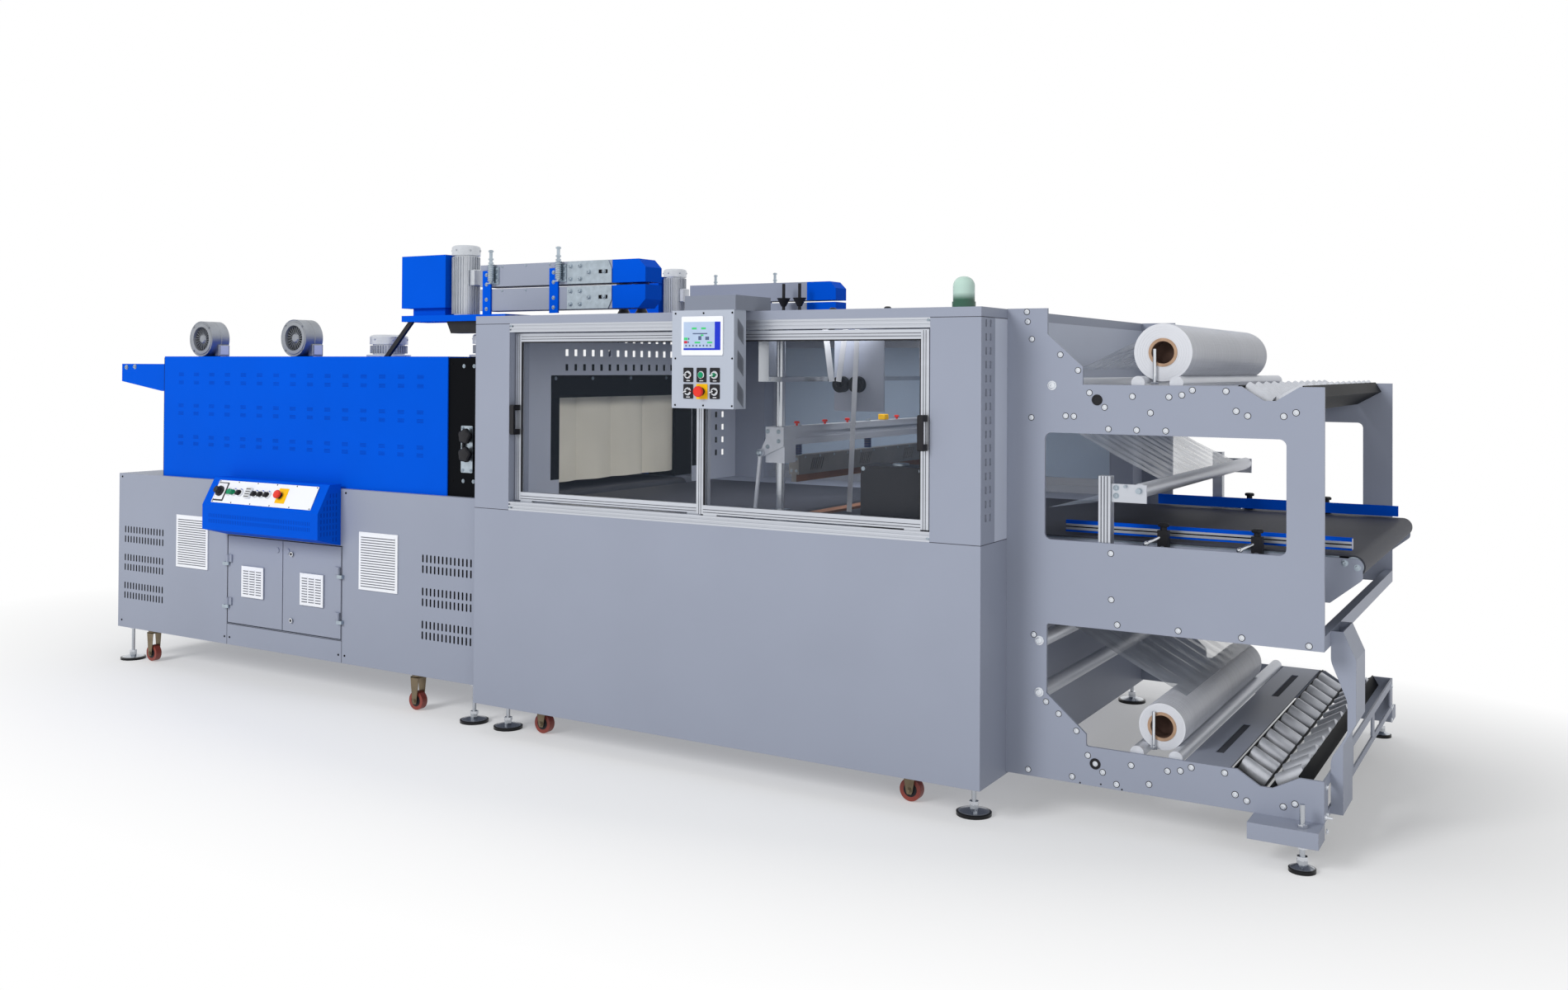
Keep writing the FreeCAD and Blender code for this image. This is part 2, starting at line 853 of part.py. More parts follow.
def rear_glazing():
    opening_top = "rail_top - rail_bottom"
    outline = rectangle("0", "0", "glazing_length", opening_top)
    lights = [rectangle("door_stile", "door_rail", "glazing_length / 2 - door_stile / 2",
                        opening_top + " - door_rail"),
              rectangle("glazing_length / 2 + door_stile / 2", "door_rail",
                        "glazing_length - door_stile", opening_top + " - door_rail")]
    y = "cab_back - front_track - door_thickness"
    node(plate("rear_glazing_frame", XZ, [outline] + lights, "door_thickness",
               "glazing_left", y, "rail_bottom"))
    panes = []
    for side, x in (("left", "glazing_left + door_stile"),
                    ("right", "glazing_left + glazing_length / 2 + door_stile / 2")):
        panes.append(box("rear_%s_pane" % side, x,
                         y + " + (door_thickness - pane_thickness) / 2",
                         "rail_bottom + door_rail",
                         "glazing_length / 2 - door_stile * 3 / 2", "pane_thickness",
                         "rail_top - rail_bottom - 2 * door_rail"))
    group("rear_panes", panes)


# Operator panel hanging from its arm on the roof edge
def operator_panel():
    arm = box("hmi_arm", "hmi_start + arm_inset", "hmi_front", "cabinet_top",
              "arm_width", "arm_length", "arm_height")
    housing = box("hmi_housing", "hmi_start", "hmi_front", "cabinet_top - hmi_height",
                  "hmi_width", "hmi_depth", "hmi_height")
    node(fuse("operator_panel", arm, housing))
    bezel_x = "hmi_start + (hmi_width - bezel_width) / 2"
    bezel = box("hmi_bezel", bezel_x, "hmi_front - bezel_thickness",
                "cabinet_top - bezel_top - bezel_height",
                "bezel_width", "bezel_thickness", "bezel_height")
    screen = box("hmi_screen", "hmi_start + (hmi_width - screen_width) / 2",
                 "hmi_front - bezel_thickness - screen_thickness",
                 "cabinet_top - bezel_top - screen_top - screen_height",
                 "screen_width", "screen_thickness", "screen_height")
    node(fuse("panel_display", bezel, screen))
    switches = []
    for line in range(2):
        for column in range(3):
            x = "hmi_start + key_inset + %d * key_pitch" % column
            z = "cabinet_top - key_first - %d * key_row" % line
            stop = line == 1 and column == 1
            name = "key_%d_%d" % (line, column)
            pieces = [box(name + "_plate", x + " - key_size / 2",
                          "hmi_front - key_thickness", z + " - key_size / 2",
                          "key_size", "key_thickness", "key_size")]
            if stop:
                pieces += [rod("stop_neck_rod", "y", x, "hmi_front - stop_height + stop_neck", z,
                               "button_radius", "stop_height - stop_neck - key_thickness"),
                           rod("stop_head", "y", x, "hmi_front - stop_height", z,
                               "stop_radius", "stop_neck")]
            else:
                pieces.append(rod(name + "_knob", "y", x,
                                  "hmi_front - key_thickness - button_height", z,
                                  "button_radius", "button_height"))
            switches.append(fuse(name, *pieces))
    group("panel_switches", switches)


def signal_lamp():
    x, y = "cab_right - lamp_inset", "cab_front + lamp_inset"
    socket = rod("lamp_socket", "z", x, y, "cabinet_top", "lamp_radius", "lamp_base")
    tube = rod("lamp_tube", "z", x, y, "cabinet_top + lamp_base",
               "lamp_radius - lamp_lip", "lamp_height")
    doc.recompute()
    dome = doc.addObject("Part::Fillet", "lamp_dome")
    dome.Base = tube
    top = value("cabinet_top + lamp_base + lamp_height")
    radius = value("(lamp_radius - lamp_lip) * lamp_dome_part")
    dome.Edges = [(number, radius, radius) for number, edge in enumerate(tube.Shape.Edges, start=1)
                  if abs(edge.BoundBox.ZMin - top) < 0.01 and edge.Closed]
    node(fuse("signal_lamp", socket, dome))


# Tunnel base: closed housing with one compartment behind two hinged doors
def tunnel_base():
    block = box("tunnel_base_block", "tunnel_left", "tunnel_front", "tunnel_floor",
                "tunnel_length", "tunnel_depth", "base_top - tunnel_floor")
    bay = box("tunnel_base_bay", "bay_left_edge", "tunnel_front", "kick_top",
              "compartment_width", "compartment_depth", "base_door_top + moving_gap - kick_top")
    trough = box("tunnel_base_trough", "tunnel_left", "mid - trough_half", "base_top - trough_depth",
                 "tunnel_length", "2 * trough_half", "trough_depth")
    node(cut("tunnel_base", cut("tunnel_base_with_bay", block, bay), trough))


def base_doors():
    """Two doors on pins that stand just in front of the base's face."""
    pins = []
    half = "compartment_width / 2"
    for side, sign in (("left", 1), ("right", -1)):
        edge = "bay_left_edge" if side == "left" else "bay_left_edge + compartment_width"
        start = "%s + moving_gap" % edge if side == "left" else "bay_left_edge + %s + moving_gap / 2" % half
        leaf = box("%s_leaf" % side, start, "tunnel_front", "kick_top + moving_gap",
                   "%s - 3 * moving_gap / 2" % half, "base_door_thickness",
                   "base_door_top - kick_top - moving_gap")
        pin_x = "%s + %d * (moving_gap + knuckle_radius)" % (edge, sign)
        pin_y = "tunnel_front - knuckle_radius"
        solids = [leaf]
        holes = []
        for level, z in (("lower", "kick_top + hinge_inset"),
                         ("upper", "base_door_top - hinge_inset - knuckle_length")):
            name = "%s_%s" % (side, level)
            solids.append(rod(name + "_knuckle", "z", pin_x, pin_y, z,
                              "knuckle_radius", "knuckle_length"))
            web_x = pin_x if side == "left" else pin_x + " - hinge_leaf"
            solids.append(box(name + "_hinge_leaf", web_x, pin_y, z,
                              "hinge_leaf", "knuckle_radius", "knuckle_length"))
            holes.append(rod(name + "_bore", "z", pin_x, pin_y, z,
                             "pin_radius + shaft_play", "knuckle_length"))
            pin = rod(name + "_pin", "z", pin_x, pin_y, z + " - pin_foot",
                      "pin_radius", "knuckle_length + pin_foot")
            boss = rod(name + "_boss", "z", pin_x, pin_y, z + " - pin_foot",
                       "knuckle_radius - touch_gap", "pin_foot - touch_gap")
            foot_x = edge + " - pin_foot" if side == "left" else pin_x
            foot = box(name + "_foot", foot_x, "tunnel_front - 2 * knuckle_radius + touch_gap",
                       z + " - pin_foot", "pin_foot + moving_gap + knuckle_radius",
                       "2 * (knuckle_radius - touch_gap)", "pin_foot - touch_gap")
            tab = box(name + "_tab", foot_x if side == "left" else edge,
                      "tunnel_front - touch_gap", z + " - pin_foot",
                      "pin_foot", "touch_gap", "pin_foot - touch_gap")
            pins.append(fuse(name + "_hinge", pin, boss, foot, tab))
        solids.append(rod("%s_lock" % side, "y", "bay_left_edge + %s - %d * 3 * lock_radius" % (half, sign),
                          "tunnel_front - lock_height", "base_door_top - hinge_inset / 2",
                          "lock_radius", "lock_height"))
        vent_x = ("bay_left_edge + door_vent_inset" if side == "left"
                  else "bay_left_edge + compartment_width - door_vent_inset - door_vent_width")
        solids.append(box("%s_door_vent" % side, vent_x, "tunnel_front - door_vent_thickness",
                          "door_vent_bottom", "door_vent_width", "door_vent_thickness",
                          "door_vent_height"))
        door = fuse("%s_door_solid" % side, *solids)
        for index, hole in enumerate(holes):
            door = cut("%s_door_bored_%d" % (side, index), door, hole)
        door.Label = "%s_base_door" % side
        node(door)
    group("base_door_hinges", pins)
    vents = [box("base_vent_%s" % name, "tunnel_left + %s" % x, "tunnel_front - vent_thickness",
                 "vent_bottom", "vent_width", "vent_thickness", "vent_height")
             for name, x in (("left", "left_vent"), ("right", "right_vent"))]
    group("base_vents", vents)


def control_console():
    slope_back = "console_depth - console_ridge"
    outline = [("0", "console_bottom"), ("-console_depth", "console_front_bottom"),
               ("-console_depth", "console_front_top"), ("-(%s)" % slope_back, "console_top"),
               ("0", "console_top")]
    node(plate("control_console", YZ, [outline], "console_width",
               "tunnel_left + console_left", "tunnel_front", "0"))
    console_controls()


def console_controls():
    """Plate on the console's slope with its switches standing square to it."""
    turn = "atan((console_top - console_front_top) / console_ridge)"
    x = "tunnel_left + console_left + face_inset"
    sheet = box("console_face", x, "tunnel_front - console_depth", "console_front_top",
                "console_width - 2 * face_inset", "face_length", "face_thickness")
    pieces = [lean(sheet, turn, "face_margin")]
    knobs = [("main_switch", "switch_place", "switch_radius", "switch_height"),
             ("start_button", "start_place", "button_radius", "face_button"),
             ("stop_button", "stop_place", "stop_radius", "stop_height")]
    knobs += [("selector_%d" % index, "selector_first + %d * selector_pitch" % index,
               "button_radius", "face_button") for index in range(SIZES["selector_count"])]
    for name, place, radius, height in knobs:
        knob = rod(name, "z", x + " + " + place, "tunnel_front - console_depth",
                   "console_front_top", radius, height)
        pieces.append(lean(knob, turn, "face_margin + face_length / 2"))
    node(fuse("console_controls", *pieces))


def lean(thing, turn, up):
    """Turn a piece on to the console's slope and move it up along the slope."""
    base_y, base_z = (dict(thing.ExpressionEngine)[".Placement.Base." + axis] for axis in "yz")
    thing.Placement = FreeCAD.Placement(FreeCAD.Vector(), FreeCAD.Rotation(FreeCAD.Vector(1, 0, 0), 90))
    thing.setExpression("Placement.Rotation.Angle", bound(turn))
    thing.setExpression("Placement.Base.y", "%s + %s" % (base_y, bound("(%s) * cos(%s)" % (up, turn))))
    thing.setExpression("Placement.Base.z", "%s + %s" % (base_z, bound("(%s) * sin(%s)" % (up, turn))))
    return thing


# Heat tunnel hood, its end frames and what stands on it
def hood_profile(inset="0"):
    half = "hood_depth / 2 - (%s)" % inset
    opening = "entry_top - base_top"
    top = "hood_top - base_top - (%s)" % inset
    return [("-(%s)" % half, "0"), ("-entry_half", "0"), ("-entry_half", opening),
            ("entry_half", opening), ("entry_half", "0"), (half, "0"), (half, top),
            ("-(%s)" % half, top)]


def tunnel_hood():
    node(plate("tunnel_hood", YZ, [hood_profile()], "hood_length",
               "hood_start", "mid", "base_top"))
    group("hood_end_frames", [
        plate("hood_entry_frame", YZ, [hood_profile("frame_lip")], "entry_frame",
              "hood_stop", "mid", "base_top"),
        plate("hood_exit_frame", YZ, [hood_profile("frame_lip")], "hood_end",
              "hood_start - hood_end", "mid", "base_top")])
    arms = []
    for side, sign in SIDES:
        reach = "hood_left - hood_end + exit_reach"
        outline = [("0", "bracket_mid"), ("0", "bracket_top"), (reach, "bracket_top"),
                   (reach, "bracket_bottom"), ("bracket_run", "bracket_bottom")]
        arms.append(plate("%s_exit_bracket" % side, XZ, [outline], "bracket_thickness",
                          "tunnel_left - exit_reach",
                          across("hood_depth / 2 - bracket_setback", sign, "bracket_thickness"), "0"))
    group("exit_brackets", arms)
    curtains("entry_curtain", "hood_stop + entry_frame")


def curtains(name, x):
    """Silicone flaps that hang side by side in the mouth of the tunnel."""
    pitch = "(2 * entry_half - curtain_gap) / curtain_count"
    group(name, [box("%s_%d" % (name, index), x + " - curtain_thickness * 2",
                     "mid - entry_half + curtain_gap + %d * %s" % (index, pitch), "curtain_bottom",
                     "curtain_thickness", pitch + " - curtain_gap", "entry_top - curtain_bottom")
                 for index in range(SIZES["curtain_count"])])


def hood_fans():
    fans = []
    for index in range(2):
        name = "blower_%d" % index
        x = "hood_start + first_blower + %d * blower_pitch" % index
        y = "hood_front + blower_setback"
        z = "hood_top + blower_radius"
        drum = rod(name + "_drum", "y", x, y, z, "blower_radius", "blower_depth")
        outlet = box(name + "_outlet", x, y, "hood_top", "blower_radius + blower_outlet / 4",
                     "blower_depth", "blower_outlet")
        eye = rod(name + "_eye", "y", x, y, z, "blower_eye", "blower_eye_depth")
        hub = rod(name + "_hub", "y", x, y, z, "blower_eye / 2", "blower_eye_depth")
        shell = cut(name + "_shell", fuse(name + "_scroll", drum, outlet), eye)
        fans.append(fuse(name, shell, hub))
    for index in range(2):
        name = "fan_%d" % index
        x = "hood_start + first_fan + %d * fan_pitch" % index
        y = "hood_front + fan_setback"
        flange = rod(name + "_flange", "z", x, y, "hood_top", "fan_flange_radius", "fan_flange_height")
        can = rod(name + "_can", "z", x, y, "hood_top + fan_flange_height",
                  "fan_motor_radius", "fan_motor_height")
        fans.append(fuse(name, flange, can))
    group("hood_fans", fans)


# Belts: each a closed loop with its bed plate and two end drums
def belt_loop(name, x, length, half, level, walls):
    depth = "2 * belt_drum + 2 * belt_thickness"
    outer = box(name + "_outer", x, "mid - %s" % half, "%s - (%s)" % (level, depth),
                length, "2 * %s" % half, depth)
    inner = box(name + "_inner", "%s + belt_thickness" % x, "mid - %s" % half,
                "%s - belt_thickness - 2 * belt_drum" % level,
                "%s - 2 * belt_thickness" % length, "2 * %s" % half, "2 * belt_drum")
    outer_round = doc.addObject("Part::Fillet", name + "_outer_round")
    inner_round = doc.addObject("Part::Fillet", name + "_inner_round")
    doc.recompute()
    for shape, base, radius in ((outer_round, outer, value("belt_drum + belt_thickness") - 0.01),
                                (inner_round, inner, value("belt_drum") - 0.01)):
        shape.Base = base
        shape.Edges = [(number, radius, radius)
                       for number, edge in enumerate(base.Shape.Edges, start=1)
                       if abs(edge.tangentAt(edge.FirstParameter).y) > 0.99]
    loop = cut(name, outer_round, inner_round)
    bed = box(name + "_bed", "%s + belt_thickness + 2 * belt_drum + bed_margin" % x,
              "mid - %s" % half, "%s - belt_thickness - 2 * belt_drum" % level,
              "%s - 2 * belt_thickness - 4 * belt_drum - 2 * bed_margin" % length,
              "2 * %s" % half, "2 * belt_drum")
    drums = []
    for index, (drum_x, wall) in enumerate((
            ("%s + belt_thickness + belt_drum" % x, walls[0]),
            ("%s + (%s) - belt_thickness - belt_drum" % (x, length), walls[1]))):
        z = "%s - belt_thickness - belt_drum" % level
        drum = rod("%s_drum_%d" % (name, index), "y", drum_x, "mid - %s" % half, z,
                   "belt_drum - touch_gap", "2 * %s" % half)
        shaft = prism("%s_shaft_%d" % (name, index), "y", drum_x, "mid - (%s)" % wall, z,
                      "drum_shaft", "2 * (%s)" % wall, SHAFT_SIDES)
        drums.append(fuse("%s_roll_%d" % (name, index), drum, shaft))
    return loop, bed, drums


def belts():
    beds = []
    loops = []
    specs = (("tunnel_belt", "tunnel_left + belt_end_gap", "tunnel_length - 2 * belt_end_gap",
              "tunnel_belt_half", "tunnel_belt_level", ("trough_half", "trough_half")),
             ("outfeed_belt", "cab_left + belt_end_gap", "outfeed_length",
              "belt_half", "belt_level", ("bay_half", "bay_half")),
             ("infeed_belt", "cab_right - infeed_inside",
              "infeed_inside + unwind_length + belt_overhang",
              "belt_half", "belt_level", ("bay_half", "belt_half + touch_gap")))
    for name, x, length, half, level, walls in specs:
        loop, bed, drums = belt_loop(name, x, length, half, level, walls)
        loops.append(loop)
        beds += [bed] + drums
    group("conveyor_belts", loops)
    group("belt_beds", beds)


# Sealing unit: the jaw beam slides down two guide rods onto the anvil
def sealing_unit():
    seal_guides()
    seal_head()
    node(box("seal_anvil", "seal_line - anvil_width / 2", "mid - jaw_length / 2",
             "cover_top - bay_depth", "anvil_width", "jaw_length", "bay_depth + belt_level - cover_top"))
    drive = box("drive_housing", "seal_line + drive_offset", "cab_front + drive_setback", "cover_top",
                "drive_length", "drive_depth", "drive_height")
    pulleys = []
    for index in range(2):
        x = "seal_line + pulley_panel_left + pulley_inset + pulley_radius + %d * pulley_pitch" % index
        z = "roof_bottom - pulley_panel_drop + pulley_rise"
        pulleys.append(rod("pulley_%d" % index, "y", x,
                           "mid - pulley_panel_offset - pulley_width", z,
                           "pulley_radius", "pulley_width"))
    group("seal_drive_box", [drive] + pulleys)


def guide_place(sign):
    return "mid + (%d) * (cabinet_depth / 2 - guide_setback)" % sign


def seal_guides():
    """Two guide rods with their blocks, a lock cylinder beside each and a flat bar between."""
    pieces = []
    for side, sign in SIDES:
        y = guide_place(sign)
        pieces.append(rod("%s_guide_rod" % side, "z", "seal_line", y, "cover_top + lower_block",
                          "guide_radius", "roof_bottom - guide_block - cover_top - lower_block"))
        pieces.append(box("%s_top_block" % side, "seal_line - guide_block / 2",
                          y + " - guide_block / 2", "roof_bottom - guide_block",
                          "guide_block", "guide_block", "guide_block"))
        pieces.append(box("%s_low_block" % side, "seal_line - guide_block / 2",
                          y + " - guide_block / 2", "cover_top",
                          "guide_block", "guide_block", "lower_block"))
        pieces.append(box("%s_lock_cylinder" % side, "seal_line - lock_shift - lock_width / 2",
                          y + " - lock_depth / 2", "cross_level", "lock_width", "lock_depth",
                          "roof_bottom - cross_level"))
    pieces.append(box("seal_cross_bar", "seal_line - lock_shift - lock_width / 2",
                      guide_place(-1) + " - cross_width / 2", "cross_level",
                      "lock_shift + lock_width / 2 + guide_radius",
                      "2 * (cabinet_depth / 2 - guide_setback) + cross_width", "cross_height"))
    node(fuse("seal_guides", *pieces))


def seal_head():
    """Grooved beam between two sliders, with the slotted jaw hung on sprung pins below it."""
    half = "beam_thickness / 2"
    low, high = "beam_height / 2 - beam_groove_height / 2", "beam_height / 2 + beam_groove_height / 2"
    outline = [("-" + half, "0"), (half, "0"), (half, low), (half + " - beam_groove", low),
               (half + " - beam_groove", high), (half, high), (half, "beam_height"),
               ("-" + half, "beam_height"), ("-" + half, high), ("-%s + beam_groove" % half, high),
               ("-%s + beam_groove" % half, low), ("-" + half, low)]
    solids = [plate("seal_beam_bar", XZ, [outline], "beam_span", "seal_line",
                    "mid - beam_span / 2", "slider_top - beam_height")]
    holes = []
    for side, sign in SIDES:
        y = guide_place(sign)
        solids.append(box("%s_slider" % side, "seal_line - slider_width / 2",
                          y + " - slider_width / 2", "slider_top - slider_height",
                          "slider_width", "slider_width", "slider_height"))
        holes.append(rod("%s_slider_bore" % side, "z", "seal_line", y, "slider_top - slider_height",
                         "guide_radius + shaft_play", "slider_height"))
        solids += link(side, sign)
    beam = fuse("seal_beam_solid", *solids)
    for index, hole in enumerate(holes):
        beam = cut("seal_beam_bored_%d" % index, beam, hole)
    beam.Label = "seal_beam"
    node(beam)
    jaw_y = "mid - jaw_length / 2"
    jaw = [box("seal_jaw_bar", "seal_line - jaw_thickness / 2 + jaw_cover", jaw_y, "jaw_top - jaw_height",
               "jaw_thickness - 2 * jaw_cover", "jaw_length", "jaw_height"),
           box("seal_jaw_edge", "seal_line - jaw_thickness / 4", jaw_y, "jaw_bottom",
               "jaw_thickness / 2", "jaw_length", "jaw_edge_height")]
    for name, x in (("near", "seal_line + jaw_thickness / 2 - jaw_cover"),
                    ("far", "seal_line - jaw_thickness / 2")):
        jaw.append(jaw_cover(name, x))
    for index, place in enumerate((-1, 0, 1)):
        jaw.append(rod("jaw_pin_%d" % index, "z", "seal_line",
                       "mid + (%d) * (jaw_length / 2 - jaw_pin_inset)" % place, "jaw_top",
                       "spring_radius", "jaw_gap"))
    node(fuse("seal_jaw", *jaw))


def link(side, sign):
    """Tapered end plate on the slider, and the rod that runs from its tip down to the crank."""
    face = "cabinet_depth / 2 - guide_setback + slider_width / 2 + link_plate"
    outline = [("-link_tip", "-link_tip_drop"), ("-link_tip + link_eye", "-link_tip_drop - link_tip_height"),
               ("slider_width / 2", "-beam_height"), ("slider_width / 2", "0"), ("-link_eye", "0")]
    arm = plate("%s_link_plate" % side, XZ, [outline], "link_plate", "seal_line",
                across(face, sign, "link_plate"), "slider_top")
    eye = rod("%s_link_eye" % side, "y", "seal_line - link_tip + link_eye / 2",
              across(face + " + 2 * link_radius", sign, "2 * link_radius + link_plate"),
              "slider_top - link_tip_drop - link_tip_height / 4", "link_eye",
              "2 * link_radius + link_plate")
    bar = rod("%s_link_rod" % side, "z", "seal_line - link_tip + link_eye / 2",
              across(face + " + link_radius", sign), "slider_top - link_tip_drop",
              "link_radius", "link_length")
    bar.Placement = FreeCAD.Placement(bar.Placement.Base, FreeCAD.Rotation(FreeCAD.Vector(0, 1, 0), 90))
    bar.setExpression("Placement.Rotation.Angle",
                      bound("180 + atan((link_reach - link_tip + link_eye / 2) / link_length) / (1 deg)"))
    return [arm, eye, bar]


def jaw_cover(name, x):
    """Thin cover over the jaw's side with groups of leaning slots."""
    low, high = "jaw_slot_margin", "jaw_height - jaw_slot_margin"
    wires = [rectangle("0", "0", "jaw_length", "jaw_height")]
    for cluster in range(SIZES["jaw_slot_groups"]):
        for index in range(SIZES["jaw_slot_count"]):
            left = "jaw_slot_first + %d * jaw_group_pitch + %d * jaw_slot_pitch" % (cluster, index)
            wires.append([(left, low), (left + " + jaw_slot_width", low),
                          (left + " + jaw_slot_width + slot_lean", high), (left + " + slot_lean", high)])
    return plate("%s_jaw_cover" % name, YZ, wires, "jaw_cover", x, "mid - jaw_length / 2",
                 "jaw_top - jaw_height")


# Overhead units: two stacked beams, end plates, gearbox and motor, at both sides
def overhead_units():
    beams, covers, motors, bases, plates, supports = [], [], [], [], [], []
    for side, sign in SIDES:
        y = across("cabinet_depth / 2 - unit_setback", sign, "unit_depth")
        left = "cab_right - unit_left"
        for level in range(2):
            z = "unit_bottom + %d * (unit_beam_height + unit_beam_gap)" % level
            name = "%s_%d" % (side, level)
            beams.append(box(name + "_bar", left, y, z, "unit_length", "unit_depth", "unit_beam_height"))
            plates.append(end_plate(name, sign, left, z, level))
            covers.append(nose(name, left + " + unit_length", y, z, level))
        covers.append(box(side + "_gearbox", "cab_right - gearbox_left", y, "unit_bottom + gearbox_lift",
                          "gearbox_length", "unit_depth", "gearbox_height"))
        covers += uprights(side, sign, left)
        motors.append(rod(side + "_unit_motor", "z", "cab_right - gearbox_left + unit_motor_offset",
                          y + " + unit_depth / 2", "cabinet_top - sole_drop + sole_thickness",
                          "unit_motor_radius", "unit_motor_height"))
        bases.append(unit_base(side, y))
        plates += spring_rods(side, sign, left)
        supports += unit_supports(side, sign, y)
    group("unit_beams", beams)
    group("unit_covers", covers)
    group("unit_motors", motors)
    group("unit_bases", bases)
    group("unit_plates", plates)
    group("unit_supports", supports)


def end_plate(name, sign, left, z, level):
    """Slotted plate on the beam's outer face; its outer corner is cut as the nose is."""
    top, chop = ("unit_beam_height", "unit_plate_cut")
    outline = [("0", "0"), ("unit_plate_length", "0"),
               ("unit_plate_length", "%s - %s" % (top, chop)),
               ("unit_plate_length - %s / 2" % chop, top), ("0", top)]
    if level == 0:
        outline = [(u, "%s - (%s)" % (top, v)) for u, v in reversed(outline)]
    middle = "unit_beam_height / 2"
    slot = rectangle("unit_plate_length - unit_slot_end - unit_slot_length",
                     middle + " - unit_slot_height / 2",
                     "unit_plate_length - unit_slot_end", middle + " + unit_slot_height / 2")
    return plate(name + "_plate", XZ, [outline, slot], "unit_plate_thickness",
                 left + " + unit_length - unit_plate_length",
                 across("cabinet_depth / 2 - unit_setback + unit_plate_thickness", sign,
                        "unit_plate_thickness"), z)


def nose(name, x, y, z, level):
    """Blue end of a beam, with its free corner cut off."""
    outline = [("0", "0"), ("unit_nose", "0"), ("unit_nose", "unit_beam_height - nose_cut"),
               ("unit_nose - nose_cut", "unit_beam_height"), ("0", "unit_beam_height")]
    if level == 0:
        outline = [(u, "unit_beam_height - (%s)" % v) for u, v in reversed(outline)]
    return plate(name + "_nose", XZ, [outline], "unit_depth", x, y, z)


def uprights(side, sign, left):
    """Flat uprights that hold the two beams of a unit together."""
    return [box("%s_upright_%d" % (side, index),
                left + " + first_upright + %d * upright_pitch" % index,
                across("cabinet_depth / 2 - unit_setback + upright_thickness", sign,
                       "upright_thickness"), "cabinet_top - sole_drop + sole_thickness",
                "upright_width", "upright_thickness",
                "unit_top - cabinet_top + sole_drop - sole_thickness - upright_drop")
            for index in range(2)]


def spring_rods(side, sign, left):
    """Angle plates beside the uprights, each with a threaded rod and its spring."""
    pieces = []
    for index in range(2):
        x = left + " + first_upright + upright_width + touch_gap + %d * upright_pitch" % index
        face = "cabinet_depth / 2 - unit_setback"
        angle = box("%s_angle_%d" % (side, index), x,
                    across(face + " + unit_plate_thickness", sign, "unit_plate_thickness"),
                    "unit_top - unit_beam_height + angle_inset", "angle_width",
                    "unit_plate_thickness", "unit_beam_height - 2 * angle_inset")
        shelf = box("%s_shelf_%d" % (side, index), x,
                    across(face + " + unit_plate_thickness + 4 * spring_rod_radius", sign,
                           "unit_plate_thickness + 4 * spring_rod_radius"),
                    "unit_top - unit_beam_height + angle_inset", "angle_width / 2",
                    "unit_plate_thickness + 4 * spring_rod_radius", "unit_plate_thickness")
        rod_y = across(face + " + unit_plate_thickness + 2 * spring_rod_radius", sign)
        bar = rod("%s_spring_rod_%d" % (side, index), "z", x + " + angle_width / 4", rod_y,
                  "unit_top - unit_beam_height + angle_inset", "spring_rod_radius",
                  "unit_beam_height - angle_inset + spring_rod_rise")
        coil = rod("%s_spring_%d" % (side, index), "z", x + " + angle_width / 4", rod_y,
                   "unit_top - unit_beam_height + angle_inset + 2 * unit_plate_thickness",
                   "spring_coil_radius", "unit_beam_height - 2 * angle_inset")
        pieces.append(fuse("%s_spring_set_%d" % (side, index), angle, shelf, bar, coil))
    return pieces


def unit_base(side, y):
    """Sole plate butted on the roof's end, with the pedestal under the gearbox."""
    sole = box(side + "_unit_sole", "cab_right - base_plate_left", y + " - base_plate_margin",
               "cabinet_top - sole_drop", "base_plate_left - cabinet_length",
               "unit_depth + 2 * base_plate_margin", "sole_thickness")
    pedestal = box(side + "_pedestal", "cab_right - gearbox_left + 2 * pedestal_inset",
                   y + " + pedestal_inset", "cabinet_top - sole_drop + sole_thickness",
                   "gearbox_length - 3 * pedestal_inset", "unit_depth - 2 * pedestal_inset",
                   "unit_lift + gearbox_lift + sole_drop - sole_thickness")
    return fuse(side + "_unit_base", sole, pedestal)


def unit_supports(side, sign, y):
    """Slanted strut to the hood, tapered gusset under the sole, and two knob stands."""
    drop = "cabinet_top - sole_drop - hood_top"
    strut = plate(side + "_unit_strut", XZ, [[("0", "0"), ("-strut_run", "-(%s)" % drop),
                                             ("-strut_run + 2 * strut_thickness", "-(%s)" % drop),
                                             ("2 * strut_thickness", "0")]],
                  "strut_thickness", "cab_right - base_plate_left + strut_thickness",
                  y, "cabinet_top - sole_drop")
    gusset = plate(side + "_gusset", XZ, [[("0", "0"), ("gusset_run", "-gusset_height"),
                                          ("gusset_length", "-gusset_height"), ("gusset_length", "0")]],
                   "gusset_thickness", "cab_right - gusset_left", y, "cabinet_top - sole_drop")
    x = "cab_right - knob_stand_left"
    stand_y = across("cabinet_depth / 2 - knob_stand_setback", sign)
    foot_plate = box(side + "_knob_plate", x + " - knob_plate_width / 2",
                     stand_y + " - knob_plate_width / 2", "cabinet_top",
                     "knob_plate_length", "knob_plate_width", "knob_stand_base")
    stands = [foot_plate]
    for index in range(2):
        name = "%s_knob_%d" % (side, index)
        knob_x = x + " + %d * knob_stand_pitch" % index
        stands.append(rod(name + "_rod", "z", knob_x, stand_y, "cabinet_top + knob_stand_base",
                          "knob_rod_radius", "knob_rod_height"))
        for level in range(2):
            z = "cabinet_top + knob_stand_base + %d * knob_top_level" % level
            wide, neck = ("knob_wide", "knob_neck") if level == 0 else ("knob_neck", "knob_wide")
            stands.append(cone("%s_cone_%d" % (name, level), knob_x, stand_y, z, wide, neck,
                               "knob_half_height"))
    return [strut, gusset, fuse(side + "_knob_stand", *stands)]


